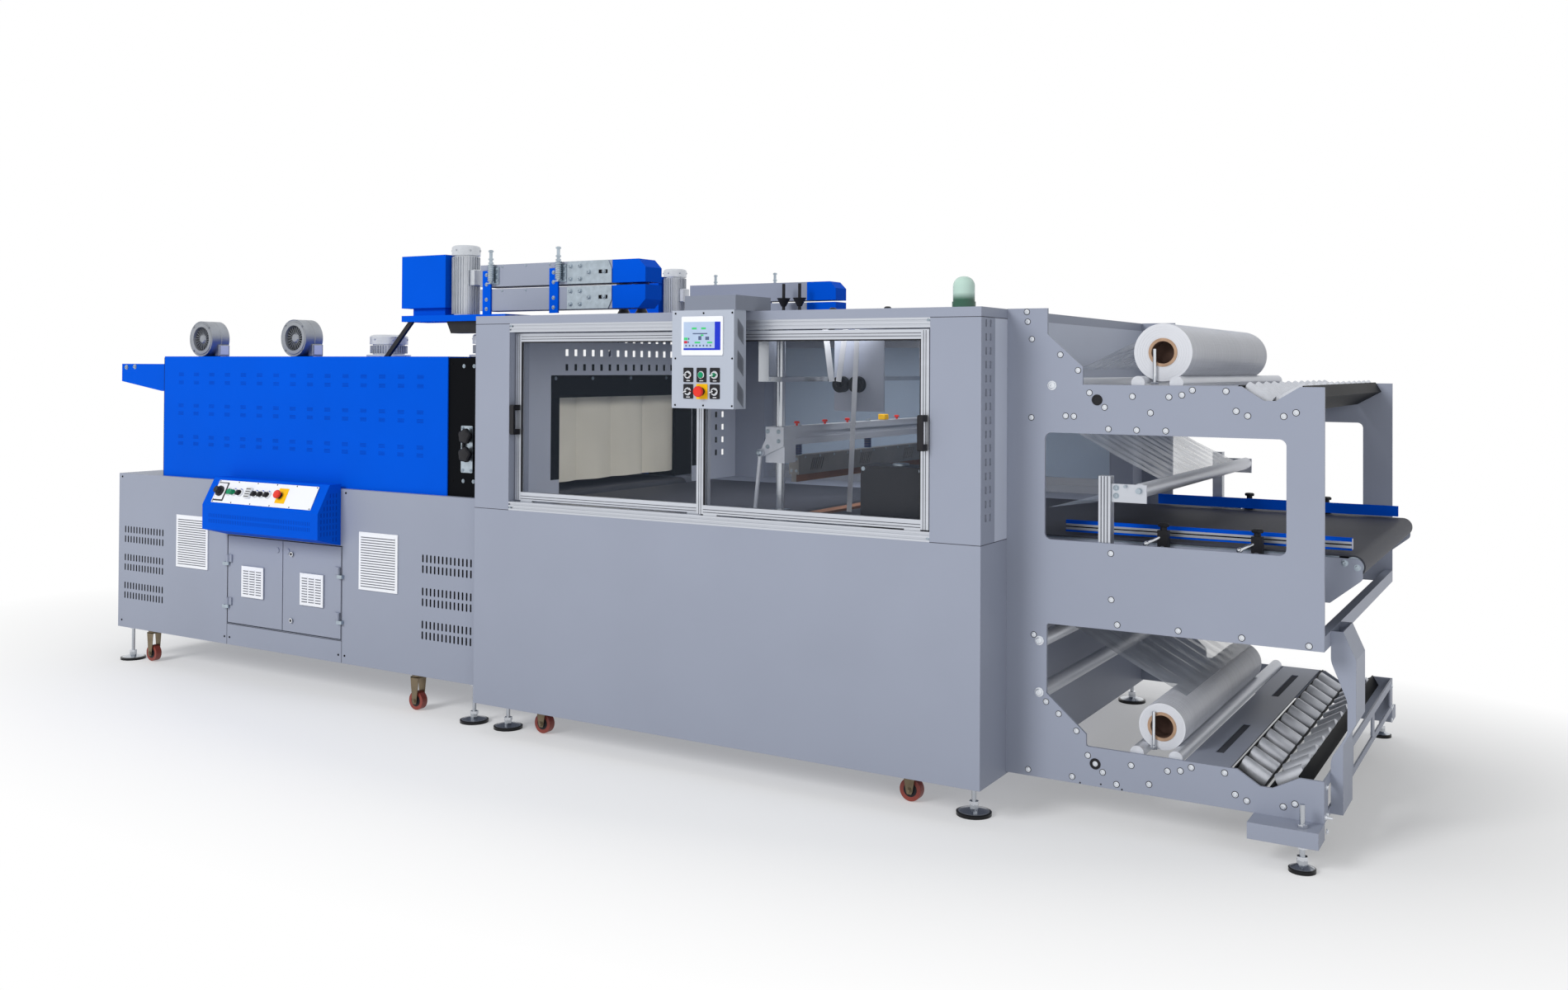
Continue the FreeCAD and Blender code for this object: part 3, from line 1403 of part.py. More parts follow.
# Unwinder side plates with their openings and notches
def side_plate(name, y):
    outline = [("0", "plate_bottom"), ("unwind_length", "plate_bottom"),
               ("unwind_length", "bay_floor"), ("lower_notch_right", "bay_floor"),
               ("lower_notch_left + notch_floor_right", "lower_notch_level"),
               ("lower_notch_left + notch_floor_left", "lower_notch_level"),
               ("lower_notch_left", "bay_floor"), ("bay_slope_foot", "bay_floor"),
               ("bay_slope_foot", "bay_slope_bottom"), ("bay_left", "bay_slope_top"),
               ("bay_left", "mid_bottom"), ("unwind_length", "mid_bottom"),
               ("unwind_length", "deck_level"), ("upper_notch_right", "deck_level"),
               ("upper_notch_left + notch_floor_right", "upper_notch_level"),
               ("upper_notch_left + notch_floor_left", "upper_notch_level"),
               ("upper_notch_left", "deck_level"), ("slope_foot", "deck_level"),
               ("slope_foot", "slope_level"), ("shoulder_length", "shoulder_level"),
               ("shoulder_length", "plate_top"), ("0", "plate_top")]
    window = rectangle("upper_hole_left", "upper_hole_bottom", "upper_hole_right", "upper_hole_top")
    body = plate(name, XZ, [outline, window], "plate_thickness", "cab_right", y, "0",
                 rounds=[(window, "hole_radius"),
                         ([outline[10], outline[7], outline[19]], "corner_radius")])
    return node(body)


def side_plates():
    for side, sign in SIDES:
        side_plate("%s_side_plate" % side, across("plate_half", sign, "plate_thickness"))


# V-shaped roller tracks: two banks of rollers on axles in tilted channels
def roller_track(name, centre, level):
    rollers = []
    channels = []
    across_bank = "2 * track_wall + roller_length"
    seat = "track_floor + roller_radius + roller_play"
    for bank, sign in (("near", -1), ("far", 1)):
        wall = "(%d) * track_wall" % sign
        width = "(%d) * (%s)" % (sign, across_bank)
        outline = [("0", "0"), (width, "0"), (width, "track_height"),
                   ("%s - %s" % (width, wall), "track_height"),
                   ("%s - %s" % (width, wall), "track_floor"),
                   (wall, "track_floor"), (wall, "track_height"), ("0", "track_height")]
        x = "%s + (%d) * track_split * cos(roller_tilt * 1 deg)" % (centre, sign)
        z = "%s + track_split * sin(roller_tilt * 1 deg)" % level
        channel = plate("%s_%s_channel" % (name, bank), XZ, [outline], "2 * bearing_half",
                        x, "mid - bearing_half", z)
        tilt(channel, "(%d) * roller_tilt" % -sign)
        channels.append(channel)
        for index in range(SIZES["roller_count"]):
            y = "mid + (%d - (roller_count - 1) / 2) * roller_pitch" % index
            roller = prism("%s_%s_roller_%d" % (name, bank, index), "x",
                           "%s + (%d) * track_wall * cos(roller_tilt * 1 deg)"
                           " - (%d) * (%s) * sin(roller_tilt * 1 deg)" % (x, sign, sign, seat), y,
                           "%s + track_wall * sin(roller_tilt * 1 deg)"
                           " + (%s) * cos(roller_tilt * 1 deg)" % (z, seat),
                           "roller_radius", "roller_length", ROLLER_SIDES)
            roller.setExpression("Placement.Rotation.Angle",
                                 bound("(%d) * (90 - roller_tilt)" % sign))
            rollers.append(roller)
    group("%s_rollers" % name, rollers)
    return channels


def roll_bays():
    group("track_channels", [
        rail for name in ("upper", "lower")
        for rail in roller_track("%s_track" % name,
                                 "cab_right + %s_notch_left + (notch_floor_left + notch_floor_right) / 2"
                                 % name, "%s_notch_level + track_sink" % name)])
    rolls = {
        "upper": ("deck_level + upper_support_lift", "upper_roll_radius"),
        "lower": ("bay_floor + lower_support_lift", "lower_roll_radius"),
    }
    supports = []
    loaded = []
    for name, (level, radius) in rolls.items():
        x = "cab_right + roll_station"
        rise = "sqrt((support_radius + %s) ^ 2 - support_spread ^ 2)" % radius
        z = "%s + %s + touch_gap" % (level, rise)
        start = "mid - bearing_half + upper_roll_setback"
        film = rod(name + "_film_bulk", "y", x, start, z, radius, "roll_length")
        bore = rod(name + "_core_bore", "y", x, start, z, "core_bore_radius", "roll_length")
        loaded.append(cut("%s_film_roll" % name, film, bore))
        for index, sign in enumerate((-1, 1)):
            supports.append(rod("%s_support_%d" % (name, index), "y", "%s + (%d) * support_spread" % (x, sign),
                                "mid - bearing_half", level, "support_radius", "2 * bearing_half"))
    group("film_rolls", loaded)
    return supports


def film_path(idlers):
    for index, (x, z) in enumerate((("bay_left - idler_radius", "mid_bottom - bay_idler_rise"),
                                    ("bay_left - idler_radius", "bay_slope_top"),
                                    ("top_idler_station", "top_idler_level"))):
        idlers.append(rod("idler_%d" % index, "y", "cab_right + " + x, "mid - bearing_half", z,
                          "idler_radius", "2 * bearing_half"))
    idlers.append(rod("dancer_roller", "y", "cab_right + dancer_station",
                      "mid - bearing_half + dancer_inset + dancer_plate", "dancer_level",
                      "dancer_radius", "2 * (bearing_half - dancer_inset - dancer_plate)"))
    group("film_rollers", idlers)
    posts = []
    for side, sign in SIDES:
        y = across("bearing_half", sign, "post_size")
        post = box("%s_post_bar" % side, "cab_right + post_station - post_size / 2", y,
                   "infeed_side_bottom", "post_size", "post_size", "post_top - infeed_side_bottom")
        bracket = box("%s_bracket" % side, "cab_right + post_station + post_size / 2",
                      across("bearing_half - dancer_inset", sign, "dancer_plate"),
                      "dancer_level - post_size",
                      "dancer_station - post_station - post_size / 2 + dancer_radius",
                      "dancer_plate", "bracket_height")
        posts.append(fuse("%s_post" % side, post, bracket))
    group("dancer_posts", posts)
    web_strips()


def web_strips():
    """Film drawn tight between the rolls, the idlers and the dancer roller."""
    film = "web_thickness"
    wrap = "dancer_radius + touch_gap"
    turn = "web_angle * 1 deg"
    leave_x = "roll_station - (upper_roll_radius + touch_gap) * sin(%s)" % turn
    roll_z = "deck_level + upper_support_lift + touch_gap + " \
             "sqrt((support_radius + upper_roll_radius) ^ 2 - support_spread ^ 2)"
    leave_z = "%s + (upper_roll_radius + touch_gap) * cos(%s)" % (roll_z, turn)
    idler_z = "%s - (%s - top_idler_station) * tan(%s)" % (leave_z, leave_x, turn)
    low_x, low_z = "bay_left - idler_radius", "mid_bottom - bay_idler_rise"
    bulk_z = "bay_floor + lower_support_lift + touch_gap + " \
             "sqrt((support_radius + lower_roll_radius) ^ 2 - support_spread ^ 2)"
    run, drop = "(roll_station - (%s))" % low_x, "(%s - (%s))" % (low_z, bulk_z)
    fall = "(atan(%s / %s) - asin((lower_roll_radius - idler_radius) / hypot(%s; %s)))" % (
        drop, run, run, drop)
    runs = (("feed", "top_idler_station", idler_z, leave_x, leave_z),
            ("dancer_upper", "web_left", "web_top", "dancer_station",
             "dancer_level + " + wrap),
            ("dancer_lower", "web_left", "web_bottom", "dancer_station",
             "dancer_level - (%s) - %s" % (wrap, film)),
            ("lower_feed", "%s + (idler_radius + touch_gap) * sin(%s)" % (low_x, fall),
             "%s + (idler_radius + touch_gap) * cos(%s)" % (low_z, fall),
             "roll_station + (lower_roll_radius + touch_gap) * sin(%s)" % fall,
             "%s + (lower_roll_radius + touch_gap) * cos(%s)" % (bulk_z, fall)))
    strips = []
    for name, left, left_z, right, right_z in runs:
        outline = [(left, left_z), (right, right_z), (right, "%s + %s" % (right_z, film)),
                   (left, "%s + %s" % (left_z, film))]
        strips.append(plate("%s_web" % name, XZ, [outline], "2 * web_half",
                            "cab_right", "mid - web_half", "0"))
    group("film_web", strips)


def infeed_frame():
    """Conveyor side plates on spacers, and guide rails on clamped stands."""
    sides = []
    guides = []
    clamps = []
    wall = "belt_half + touch_gap + infeed_side_thickness"
    for side, sign in SIDES:
        end = "unwind_length + infeed_side_reach"
        outline = [("0", "infeed_side_bottom"), ("unwind_length - infeed_side_run", "infeed_side_bottom"),
                   (end, "infeed_side_slope"), (end, "infeed_side_top"), ("0", "infeed_side_top")]
        pieces = [plate("%s_infeed_wall" % side, XZ, [outline], "infeed_side_thickness",
                        "cab_right", across(wall, sign, "infeed_side_thickness"), "0",
                        rounds=[(outline[2:4], "infeed_side_round")])]
        for index in range(2):
            pieces.append(rod("%s_spacer_%d" % (side, index), "y",
                              "cab_right + spacer_first + %d * spacer_pitch" % index,
                              across("bearing_half", sign, "bearing_half - (%s)" % wall),
                              "infeed_side_bottom + spacer_radius * 2", "spacer_radius",
                              "bearing_half - (%s)" % wall))
        sides.append(fuse("%s_infeed_side" % side, *pieces))
        offset = "%s_guide_offset" % side
        guides.append(box("%s_guide_strip" % side, "cab_right + front_guide_left",
                          across(offset, sign, "guide_thickness"), "belt_level + guide_lift",
                          "unwind_length - front_guide_left + front_guide_reach",
                          "guide_thickness", "guide_height"))
        for index in range(2):
            x = "cab_right + clamp_first + %d * clamp_pitch" % index
            reach = "%s + clamp_depth - (%s)" % (wall, offset)
            stand = box("%s_stand_%d" % (side, index), x, across(wall + " + clamp_depth", sign, "clamp_depth"),
                        "infeed_side_top - clamp_height", "clamp_width", "clamp_depth", "2 * clamp_height")
            arm = box("%s_arm_%d" % (side, index), x,
                      across(wall + " + clamp_depth", sign, reach),
                      "belt_level + guide_lift + (guide_height - clamp_arm) / 2",
                      "clamp_arm", reach, "clamp_arm")
            knob = rod("%s_knob_%d" % (side, index), "z", x + " + clamp_width / 2",
                       across(wall + " + clamp_depth / 2", sign), "infeed_side_top + clamp_height",
                       "clamp_width / 3", "knob_height")
            clamps.append(fuse("%s_clamp_%d" % (side, index), stand, arm, knob))
    group("infeed_side_plates", sides)
    group("guide_rails", guides)
    group("guide_clamps", clamps)


def end_frame():
    """Cross channel, windowed end plate, slotted decks and the folded post on the end."""
    channel = box("upper_end_channel", "frame_right - end_channel_depth", "mid - bearing_half",
                  "mid_bottom", "end_channel_depth", "2 * bearing_half", "end_channel_height")
    window = "(2 * bearing_half - end_window_frame) / end_window_count"
    wires = [rectangle("-bearing_half", "plate_bottom", "bearing_half", "bay_floor")]
    for index in range(SIZES["end_window_count"]):
        left = "end_window_frame - bearing_half + %d * %s" % (index, window)
        wires.append(rectangle(left, "plate_bottom + end_window_bottom",
                               "%s + %s - end_window_frame" % (left, window),
                               "bay_floor - end_window_top"))
    sheet = plate("lower_end_plate", YZ, wires, "end_plate_thickness",
                  "frame_right - end_plate_thickness", "mid", "0")
    decks = [roll_deck(name, level) for name, level in (("upper", "deck_level"), ("lower", "bay_floor"))]
    group("end_channels", [channel, sheet] + decks)
    curved_post()


def roll_deck(name, level):
    """Sheet between a roll's support and its roller track, with two long slots."""
    right = "%s_notch_left - deck_end_gap" % name
    slot_right = right + " - deck_slot_inset"
    wires = [rectangle("deck_left", "-bearing_half", right, "bearing_half")]
    for low in ("-bearing_half + deck_slot_margin", "bearing_half - deck_slot_margin - deck_slot_length"):
        wires.append(rectangle(slot_right + " - deck_slot_width", low,
                               slot_right, low + " + deck_slot_length"))
    return plate(name + "_deck", XY, wires, "deck_thickness", "cab_right", "mid",
                 level + " - deck_thickness")


def curved_post():
    """Waisted post folded from sheet: two flanges and the web that joins them."""
    top = "mid_bottom + end_channel_height"
    front = [("0", "plate_bottom"), ("post_neck", "plate_bottom"), ("post_neck", "post_back_hip"),
             ("post_reach", "post_back_bottom"), ("post_reach", "post_back_top"),
             ("post_neck", top), ("0", top), ("0", "post_shoulder"), ("post_waist", "post_waist_top"),
             ("post_waist", "post_waist_bottom"), ("0", "post_hip")]
    inner = [(u if u == "0" else u + " - post_wall", v) for u, v in front[:7]]
    inner[0] = ("-post_wall", "plate_bottom")
    inner[6] = ("-post_wall", top)
    solid = plate("post_solid", XZ, [front], "post_depth", "frame_right", "mid - post_setback", "0",
                  rounds=[(front[7:], "post_round")])
    hollow = plate("post_hollow", XZ, [inner], "post_depth - 2 * post_wall", "frame_right",
                   "mid - post_setback + post_wall", "0")
    node(cut("curved_post", solid, hollow))


# Levelling feet and castors
def foot(name, x, y, pad_radius, top):
    pad = rod(name + "_pad", "z", x, y, "0", pad_radius, "foot_pad_height / 2")
    dome = cone(name + "_dome", x, y, "foot_pad_height / 2", pad_radius,
                "foot_stud_radius * 2", "foot_pad_height / 2")
    collar = prism(name + "_collar", "z", x, y, "foot_pad_height", "foot_stud_radius * 2", "foot_collar",
                   NUT_SIDES)
    stud = rod(name + "_stud", "z", x, y, "foot_pad_height + foot_collar", "foot_stud_radius",
               "%s - foot_pad_height - foot_collar" % top)
    return fuse(name, pad, dome, collar, stud)


def feet():
    legs = []
    for side, sign in SIDES:
        y = "mid + (%d) * (cabinet_depth / 2 - foot_inset)" % sign
        for spot, x, top in (("tunnel_left", "tunnel_left + tunnel_foot_left", "tunnel_floor"),
                             ("tunnel_right", "cab_left - tunnel_foot_right", "tunnel_floor"),
                             ("cabinet_left", "cab_left + cabinet_foot_end", "cabinet_floor"),
                             ("cabinet_right", "cab_right - cabinet_foot_end", "cabinet_floor")):
            legs.append(foot("%s_%s_foot" % (spot, side), x, y, "foot_pad_radius", top))
    beams = []
    for side, sign in SIDES:
        x = "frame_right - foot_beam_length / 4"
        y = "mid + (%d) * (plate_half + foot_stud_offset)" % sign
        bar = box("%s_beam_bar" % side, "frame_right - foot_beam_length",
                  across("plate_half + foot_beam_depth", sign,
                         "foot_beam_depth + plate_thickness"), "foot_beam_level",
                  "foot_beam_length", "foot_beam_depth + plate_thickness", "plate_bottom - foot_beam_level")
        hole = rod("%s_beam_bore" % side, "z", x, y, "foot_beam_level",
                   "foot_stud_radius + shaft_play", "plate_bottom - foot_beam_level")
        beams.append(cut("%s_foot_beam" % side, bar, hole))
        legs.append(foot("unwinder_%s_foot" % side, x, y, "small_pad_radius",
                         "plate_bottom + foot_stud_rise"))
    group("foot_beams", beams)
    group("levelling_feet", legs)


def castors():
    wheels = []
    forks = []
    spots = (("tunnel_left_castor", "tunnel_left + tunnel_castor_left", "tunnel_floor"),
             ("tunnel_right_castor", "cab_left - tunnel_castor_right", "tunnel_floor"),
             ("cabinet_left_castor", "cab_left + cabinet_castor_left", "cabinet_floor"),
             ("cabinet_right_castor", "cab_right - cabinet_castor_right", "cabinet_floor"))
    for spot, x, top in spots:
        for side, sign in SIDES:
            name = "%s_%s" % (spot, side)
            y = "mid + (%d) * (cabinet_depth / 2 - castor_inset)" % sign
            z = "castor_lift + castor_radius"
            wheel = rod(name + "_wheel_solid", "y", x, y + " - castor_width / 2", z,
                        "castor_radius", "castor_width")
            hole = rod(name + "_wheel_hole", "y", x, y + " - castor_width / 2", z,
                       "castor_axle + shaft_play", "castor_width")
            wheels.append(cut(name + "_wheel", wheel, hole))
            outer = "castor_width / 2 + castor_play + castor_cheek"
            pieces = [box(name + "_top", "%s - castor_radius" % x, "%s - (%s)" % (y, outer),
                          "%s - castor_plate" % top, "2 * castor_radius", "2 * (%s)" % outer,
                          "castor_plate"),
                      rod(name + "_axle", "y", x, "%s - (%s)" % (y, outer), z,
                          "castor_axle", "2 * (%s)" % outer)]
            for cheek, cheek_y in (("near", "%s - (%s)" % (y, outer)),
                                   ("far", "%s + (%s) - castor_cheek" % (y, outer))):
                pieces.append(box("%s_%s_cheek" % (name, cheek), "%s - castor_trail" % x, cheek_y,
                                  z + " - castor_axle * 2", "2 * castor_trail", "castor_cheek",
                                  "%s - castor_plate - (%s) + castor_axle * 2" % (top, z)))
            forks.append(fuse(name + "_fork", *pieces))
    group("castor_wheels", wheels)
    group("castor_forks", forks)


cabinet_housing()
inner_walls()
guard_doors()
rear_glazing()
operator_panel()
signal_lamp()
tunnel_base()
base_doors()
control_console()
tunnel_hood()
hood_fans()
belts()
sealing_unit()
overhead_units()
side_plates()
film_path(roll_bays())
infeed_frame()
end_frame()
feet()
castors()

doc.recompute()
for thing in doc.Objects:
    if "Invalid" in thing.State or "Error" in thing.State:
        raise RuntimeError("%s did not build: %s" % (thing.Label, thing.State))

os.makedirs("parts", exist_ok=True)
for thing in nodes:
    if thing.Shape.isNull() or not thing.Shape.isValid():
        raise RuntimeError("%s has no valid shape" % thing.Label)
    thing.Shape.exportStep("parts/%s.step" % thing.Label)
print(len(nodes), "nodes written")
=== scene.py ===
"""Looks of the shrink wrapping machine: paint, metals, film, fasteners, controls, floor and light."""
import math
import random
from itertools import product

import bmesh
import bpy
from mathutils import Matrix, Vector


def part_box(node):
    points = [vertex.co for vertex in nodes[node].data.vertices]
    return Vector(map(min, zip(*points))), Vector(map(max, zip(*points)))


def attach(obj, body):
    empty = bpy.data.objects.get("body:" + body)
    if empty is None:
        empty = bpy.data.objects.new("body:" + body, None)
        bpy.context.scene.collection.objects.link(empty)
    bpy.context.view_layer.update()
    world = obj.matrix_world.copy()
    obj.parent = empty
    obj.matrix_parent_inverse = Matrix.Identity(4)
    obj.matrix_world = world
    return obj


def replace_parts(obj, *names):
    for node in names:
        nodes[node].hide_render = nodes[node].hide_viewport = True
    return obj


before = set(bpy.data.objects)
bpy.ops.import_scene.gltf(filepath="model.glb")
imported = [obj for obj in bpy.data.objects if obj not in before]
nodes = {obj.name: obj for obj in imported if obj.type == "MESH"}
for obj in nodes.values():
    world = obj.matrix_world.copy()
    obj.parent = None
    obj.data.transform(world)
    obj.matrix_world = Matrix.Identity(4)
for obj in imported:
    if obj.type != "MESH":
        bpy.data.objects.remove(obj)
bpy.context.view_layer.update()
random.seed(7)

roof_low, roof_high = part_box("cabinet_roof")
CORNER = Vector((roof_high.x, roof_low.y, 0.0))
DEPTH = (roof_high.y - roof_low.y) * 1000
MID = DEPTH / 2
FRONT, BACK = (0, -1, 0), (0, 1, 0)
UP, DOWN = (0, 0, 1), (0, 0, -1)
LEFT, RIGHT = (-1, 0, 0), (1, 0, 0)


def spot(x, y, z):
    """Row-frame place, from millimetres off the cabinet's lower right front corner."""
    return CORNER + Vector((x, y, z)) / 1000


# Shapes
class Shape:
    """Gathers the faces of one piece, in millimetres from the cabinet's lower right front corner."""

    def __init__(self):
        self.points = []
        self.faces = []
        self.placed = None

    def add(self, points, faces):
        start = len(self.points)
        for point in points:
            self.points.append(self.placed @ Vector(point) if self.placed else Vector(point))
        self.faces.extend([start + i for i in face] for face in faces)

    def block(self, x, y, z, cut=1.0):
        """A block between two values along each axis, with its edges cut."""
        spans = (x, y, z)
        index, points, faces = {}, [], []
        for corner in product((0, 1), repeat=3):
            for flat in range(3):
                point = []
                for axis in range(3):
                    inset = 0 if axis == flat else cut
                    point.append(spans[axis][corner[axis]] + (-inset if corner[axis] else inset))
                index[corner, flat] = len(points)
                points.append(point)
            faces.append([index[corner, flat] for flat in range(3)])
        for axis in range(3):
            one, two = [other for other in range(3) if other != axis]
            for side in (0, 1):
                ring = []
                for a, b in ((0, 0), (1, 0), (1, 1), (0, 1)):
                    corner = [0, 0, 0]
                    corner[axis], corner[one], corner[two] = side, a, b
                    ring.append(index[tuple(corner), axis])
                faces.append(ring)
            for a, b in product((0, 1), repeat=2):
                ends = []
                for side in (0, 1):
                    corner = [0, 0, 0]
                    corner[axis], corner[one], corner[two] = side, a, b
                    ends.append(tuple(corner))
                faces.append([index[ends[0], one], index[ends[0], two],
                              index[ends[1], two], index[ends[1], one]])
        self.add(points, faces)

    def lathe(self, profile, at, axis, sides=24, lobes=0, depth=0.0, ends=True):
        """A turned form, from pairs of distance along the axis and radius; lobes make it a star."""
        w = Vector(axis).normalized()
        u = w.orthogonal().normalized()
        v = w.cross(u)
        at = Vector(at)
        rings, points, faces = [], [], []
        for along, radius in profile:
            if radius == 0:
                rings.append([len(points)])
                points.append(at + w * along)
                continue
            rings.append(list(range(len(points), len(points) + sides)))
            for i in range(sides):
                turn = math.tau * i / sides
                r = radius * (1 + depth * math.cos(lobes * turn)) if lobes else radius
                points.append(at + w * along + (u * math.cos(turn) + v * math.sin(turn)) * r)
        for near, far in zip(rings, rings[1:]):
            for i in range(sides):
                j = (i + 1) % sides
                face = [near[i % len(near)], near[j % len(near)], far[j % len(far)], far[i % len(far)]]
                face = list(dict.fromkeys(face))
                if len(face) > 2:
                    faces.append(face)
        for ring in (rings[0], rings[-1]):
            if len(ring) > 1 and ends:
                faces.append(ring)
        self.add(points, faces)

    def plate(self, outline, at, along, up, thickness):
        """A flat outline of (along, up) pairs from a point, thickened along their cross product."""
        at, along, up = Vector(at), Vector(along).normalized(), Vector(up).normalized()
        rise = along.cross(up) * thickness
        near = [at + along * a + up * b for a, b in outline]
        count = len(near)
        faces = [list(range(count)), list(range(count, 2 * count))]
        faces += [[i, (i + 1) % count, count + (i + 1) % count, count + i] for i in range(count)]
        self.add(near + [point + rise for point in near], faces)

    def tube(self, path, radius, sides=8, closed=False):
        """A round bar or wire along a path of points."""
        path = [Vector(point) for point in path]
        count = len(path)
        points, faces = [], []
        side = None
        for i in range(count):
            before = path[i - 1] if i or closed else path[0]
            after = path[(i + 1) % count] if i < count - 1 or closed else path[-1]
            ahead = (after - before).normalized()
            side = ahead.orthogonal() if side is None else side - ahead * side.dot(ahead)
            side.normalize()
            over = ahead.cross(side)
            for k in range(sides):
                turn = math.tau * k / sides
                points.append(path[i] + (side * math.cos(turn) + over * math.sin(turn)) * radius)
        for i in range(count if closed else count - 1):
            for k in range(sides):
                a, b = i * sides, (i + 1) % count * sides
                faces.append([a + k, a + (k + 1) % sides, b + (k + 1) % sides, b + k])
        if not closed:
            faces.append(list(range(sides)))
            faces.append(list(range((count - 1) * sides, count * sides)))
        self.add(points, faces)

    def spring(self, at, axis, length, radius, wire, turns):
        """A helical spring of round wire."""
        w = Vector(axis).normalized()
        u = w.orthogonal().normalized()
        v = w.cross(u)
        steps = int(turns * 12)
        self.tube([Vector(at) + w * (length * i / steps)
                   + (u * math.cos(math.tau * i / 12) + v * math.sin(math.tau * i / 12)) * radius
                   for i in range(steps + 1)], wire, 6)

    def cloth(self, rows, thickness=0.0):
        """A sheet through rows of points, with a single skin; thickness is not used."""
        wide, high = len(rows[0]), len(rows)
        points = [Vector(point) for row in rows for point in row]
        faces = [[r * wide + c, r * wide + c + 1, (r + 1) * wide + c + 1, (r + 1) * wide + c]
                 for r in range(high - 1) for c in range(wide - 1)]
        self.add(points, faces)

    def bolt(self, at, axis, size=1.0, sides=12):
        """A cap screw with its washer, seated at a point and facing along an axis."""
        profile = [(0, 10.5), (1.6, 10.5), (1.8, 7.6), (5.2, 7.4), (7.0, 5.6), (7.0, 3.2), (4.2, 3.0), (4.2, 0)]
        self.lathe([(a * size, r * size) for a, r in profile], at, axis, sides)

    def mirror(self):
        """Adds the same faces on the far side of the machine's middle plane."""
        count = len(self.points)
        self.points += [Vector((p.x, DEPTH - p.y, p.z)) for p in self.points]
        self.faces += [[count + i for i in reversed(face)] for face in list(self.faces)]

    def make(self, name, material, slot, body="frame", angle=35):
        """The finished piece, riding on a body."""
        mesh = bpy.data.meshes.new(name)
        mesh.from_pydata([spot(*point) for point in self.points], [], self.faces)
        work = bmesh.new()
        work.from_mesh(mesh)
        bmesh.ops.recalc_face_normals(work, faces=work.faces)
        work.to_mesh(mesh)
        work.free()
        mesh.shade_smooth()
        mesh.set_sharp_from_angle(angle=math.radians(angle))
        mesh.materials.append(material)
        piece = bpy.data.objects.new(name, mesh)
        bpy.context.scene.collection.objects.link(piece)
        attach(piece, body)
        return piece


def rounded(width, height, radius, steps=4):
    """Outline of a rounded rectangle that starts at its lower left corner."""
    outline = []
    for cx, cy, start in ((width - radius, radius, -90), (width - radius, height - radius, 0),
                          (radius, height - radius, 90), (radius, radius, 180)):
        for i in range(steps + 1):
            turn = math.radians(start + 90 * i / steps)
            outline.append((cx + radius * math.cos(turn), cy + radius * math.sin(turn)))
    return outline


# Materials
def tone(red, green, blue):
    """Linear colour from display values."""
    return tuple(((c / 255 + 0.055) / 1.055) ** 2.4 for c in (red, green, blue)) + (1.0,)


def shade(colour, factor):
    return tuple(min(1.0, c * factor) for c in colour[:3]) + (1.0,)


def link(tree, start, end):
    tree.links.new(start, end)


def material(name, colour, rough, metal=0.0, mottle=0.05, size=3.0, grain=900.0, bump=0.05,
             edge=1.2, stretch=(1, 1, 1), rough_play=0.05, **sockets):
    """A surface with slow colour mottling, a fine relief and softened edges."""
    made = bpy.data.materials.new(name)
    made.use_nodes = True
    tree = made.node_tree
    shader = tree.nodes["Principled BSDF"]
    place = tree.nodes.new("ShaderNodeTexCoord").outputs["Object"]
    mapping = tree.nodes.new("ShaderNodeMapping")
    mapping.inputs["Scale"].default_value = stretch
    link(tree, place, mapping.inputs["Vector"])
    slow = tree.nodes.new("ShaderNodeTexNoise")
    slow.inputs["Scale"].default_value = size
    slow.inputs["Detail"].default_value = 4.0
    link(tree, mapping.outputs["Vector"], slow.inputs["Vector"])
    ramp = tree.nodes.new("ShaderNodeValToRGB")
    ramp.color_ramp.elements[0].position = 0.3
    ramp.color_ramp.elements[1].position = 0.7
    ramp.color_ramp.elements[0].color = shade(colour, 1 - mottle)
    ramp.color_ramp.elements[1].color = shade(colour, 1 + mottle)
    link(tree, slow.outputs["Fac"], ramp.inputs["Fac"])
    link(tree, ramp.outputs["Color"], shader.inputs["Base Color"])
    shader.inputs["Metallic"].default_value = metal
    spread = tree.nodes.new("ShaderNodeMapRange")
    spread.inputs["To Min"].default_value = max(0.02, rough - rough_play)
    spread.inputs["To Max"].default_value = min(1.0, rough + rough_play)
    link(tree, slow.outputs["Fac"], spread.inputs["Value"])
    link(tree, spread.outputs["Result"], shader.inputs["Roughness"])
    fine = tree.nodes.new("ShaderNodeTexNoise")
    fine.inputs["Scale"].default_value = grain
    link(tree, mapping.outputs["Vector"], fine.inputs["Vector"])
    relief = tree.nodes.new("ShaderNodeBump")
    relief.inputs["Strength"].default_value = bump
    relief.inputs["Distance"].default_value = 0.001
    link(tree, fine.outputs["Fac"], relief.inputs["Height"])
    if edge:
        soft = tree.nodes.new("ShaderNodeBevel")
        soft.samples = 2
        soft.inputs["Radius"].default_value = edge / 1000
        link(tree, soft.outputs["Normal"], relief.inputs["Normal"])
    link(tree, relief.outputs["Normal"], shader.inputs["Normal"])
    for socket, value in sockets.items():
        shader.inputs[socket.replace("_", " ")].default_value = value
    return made


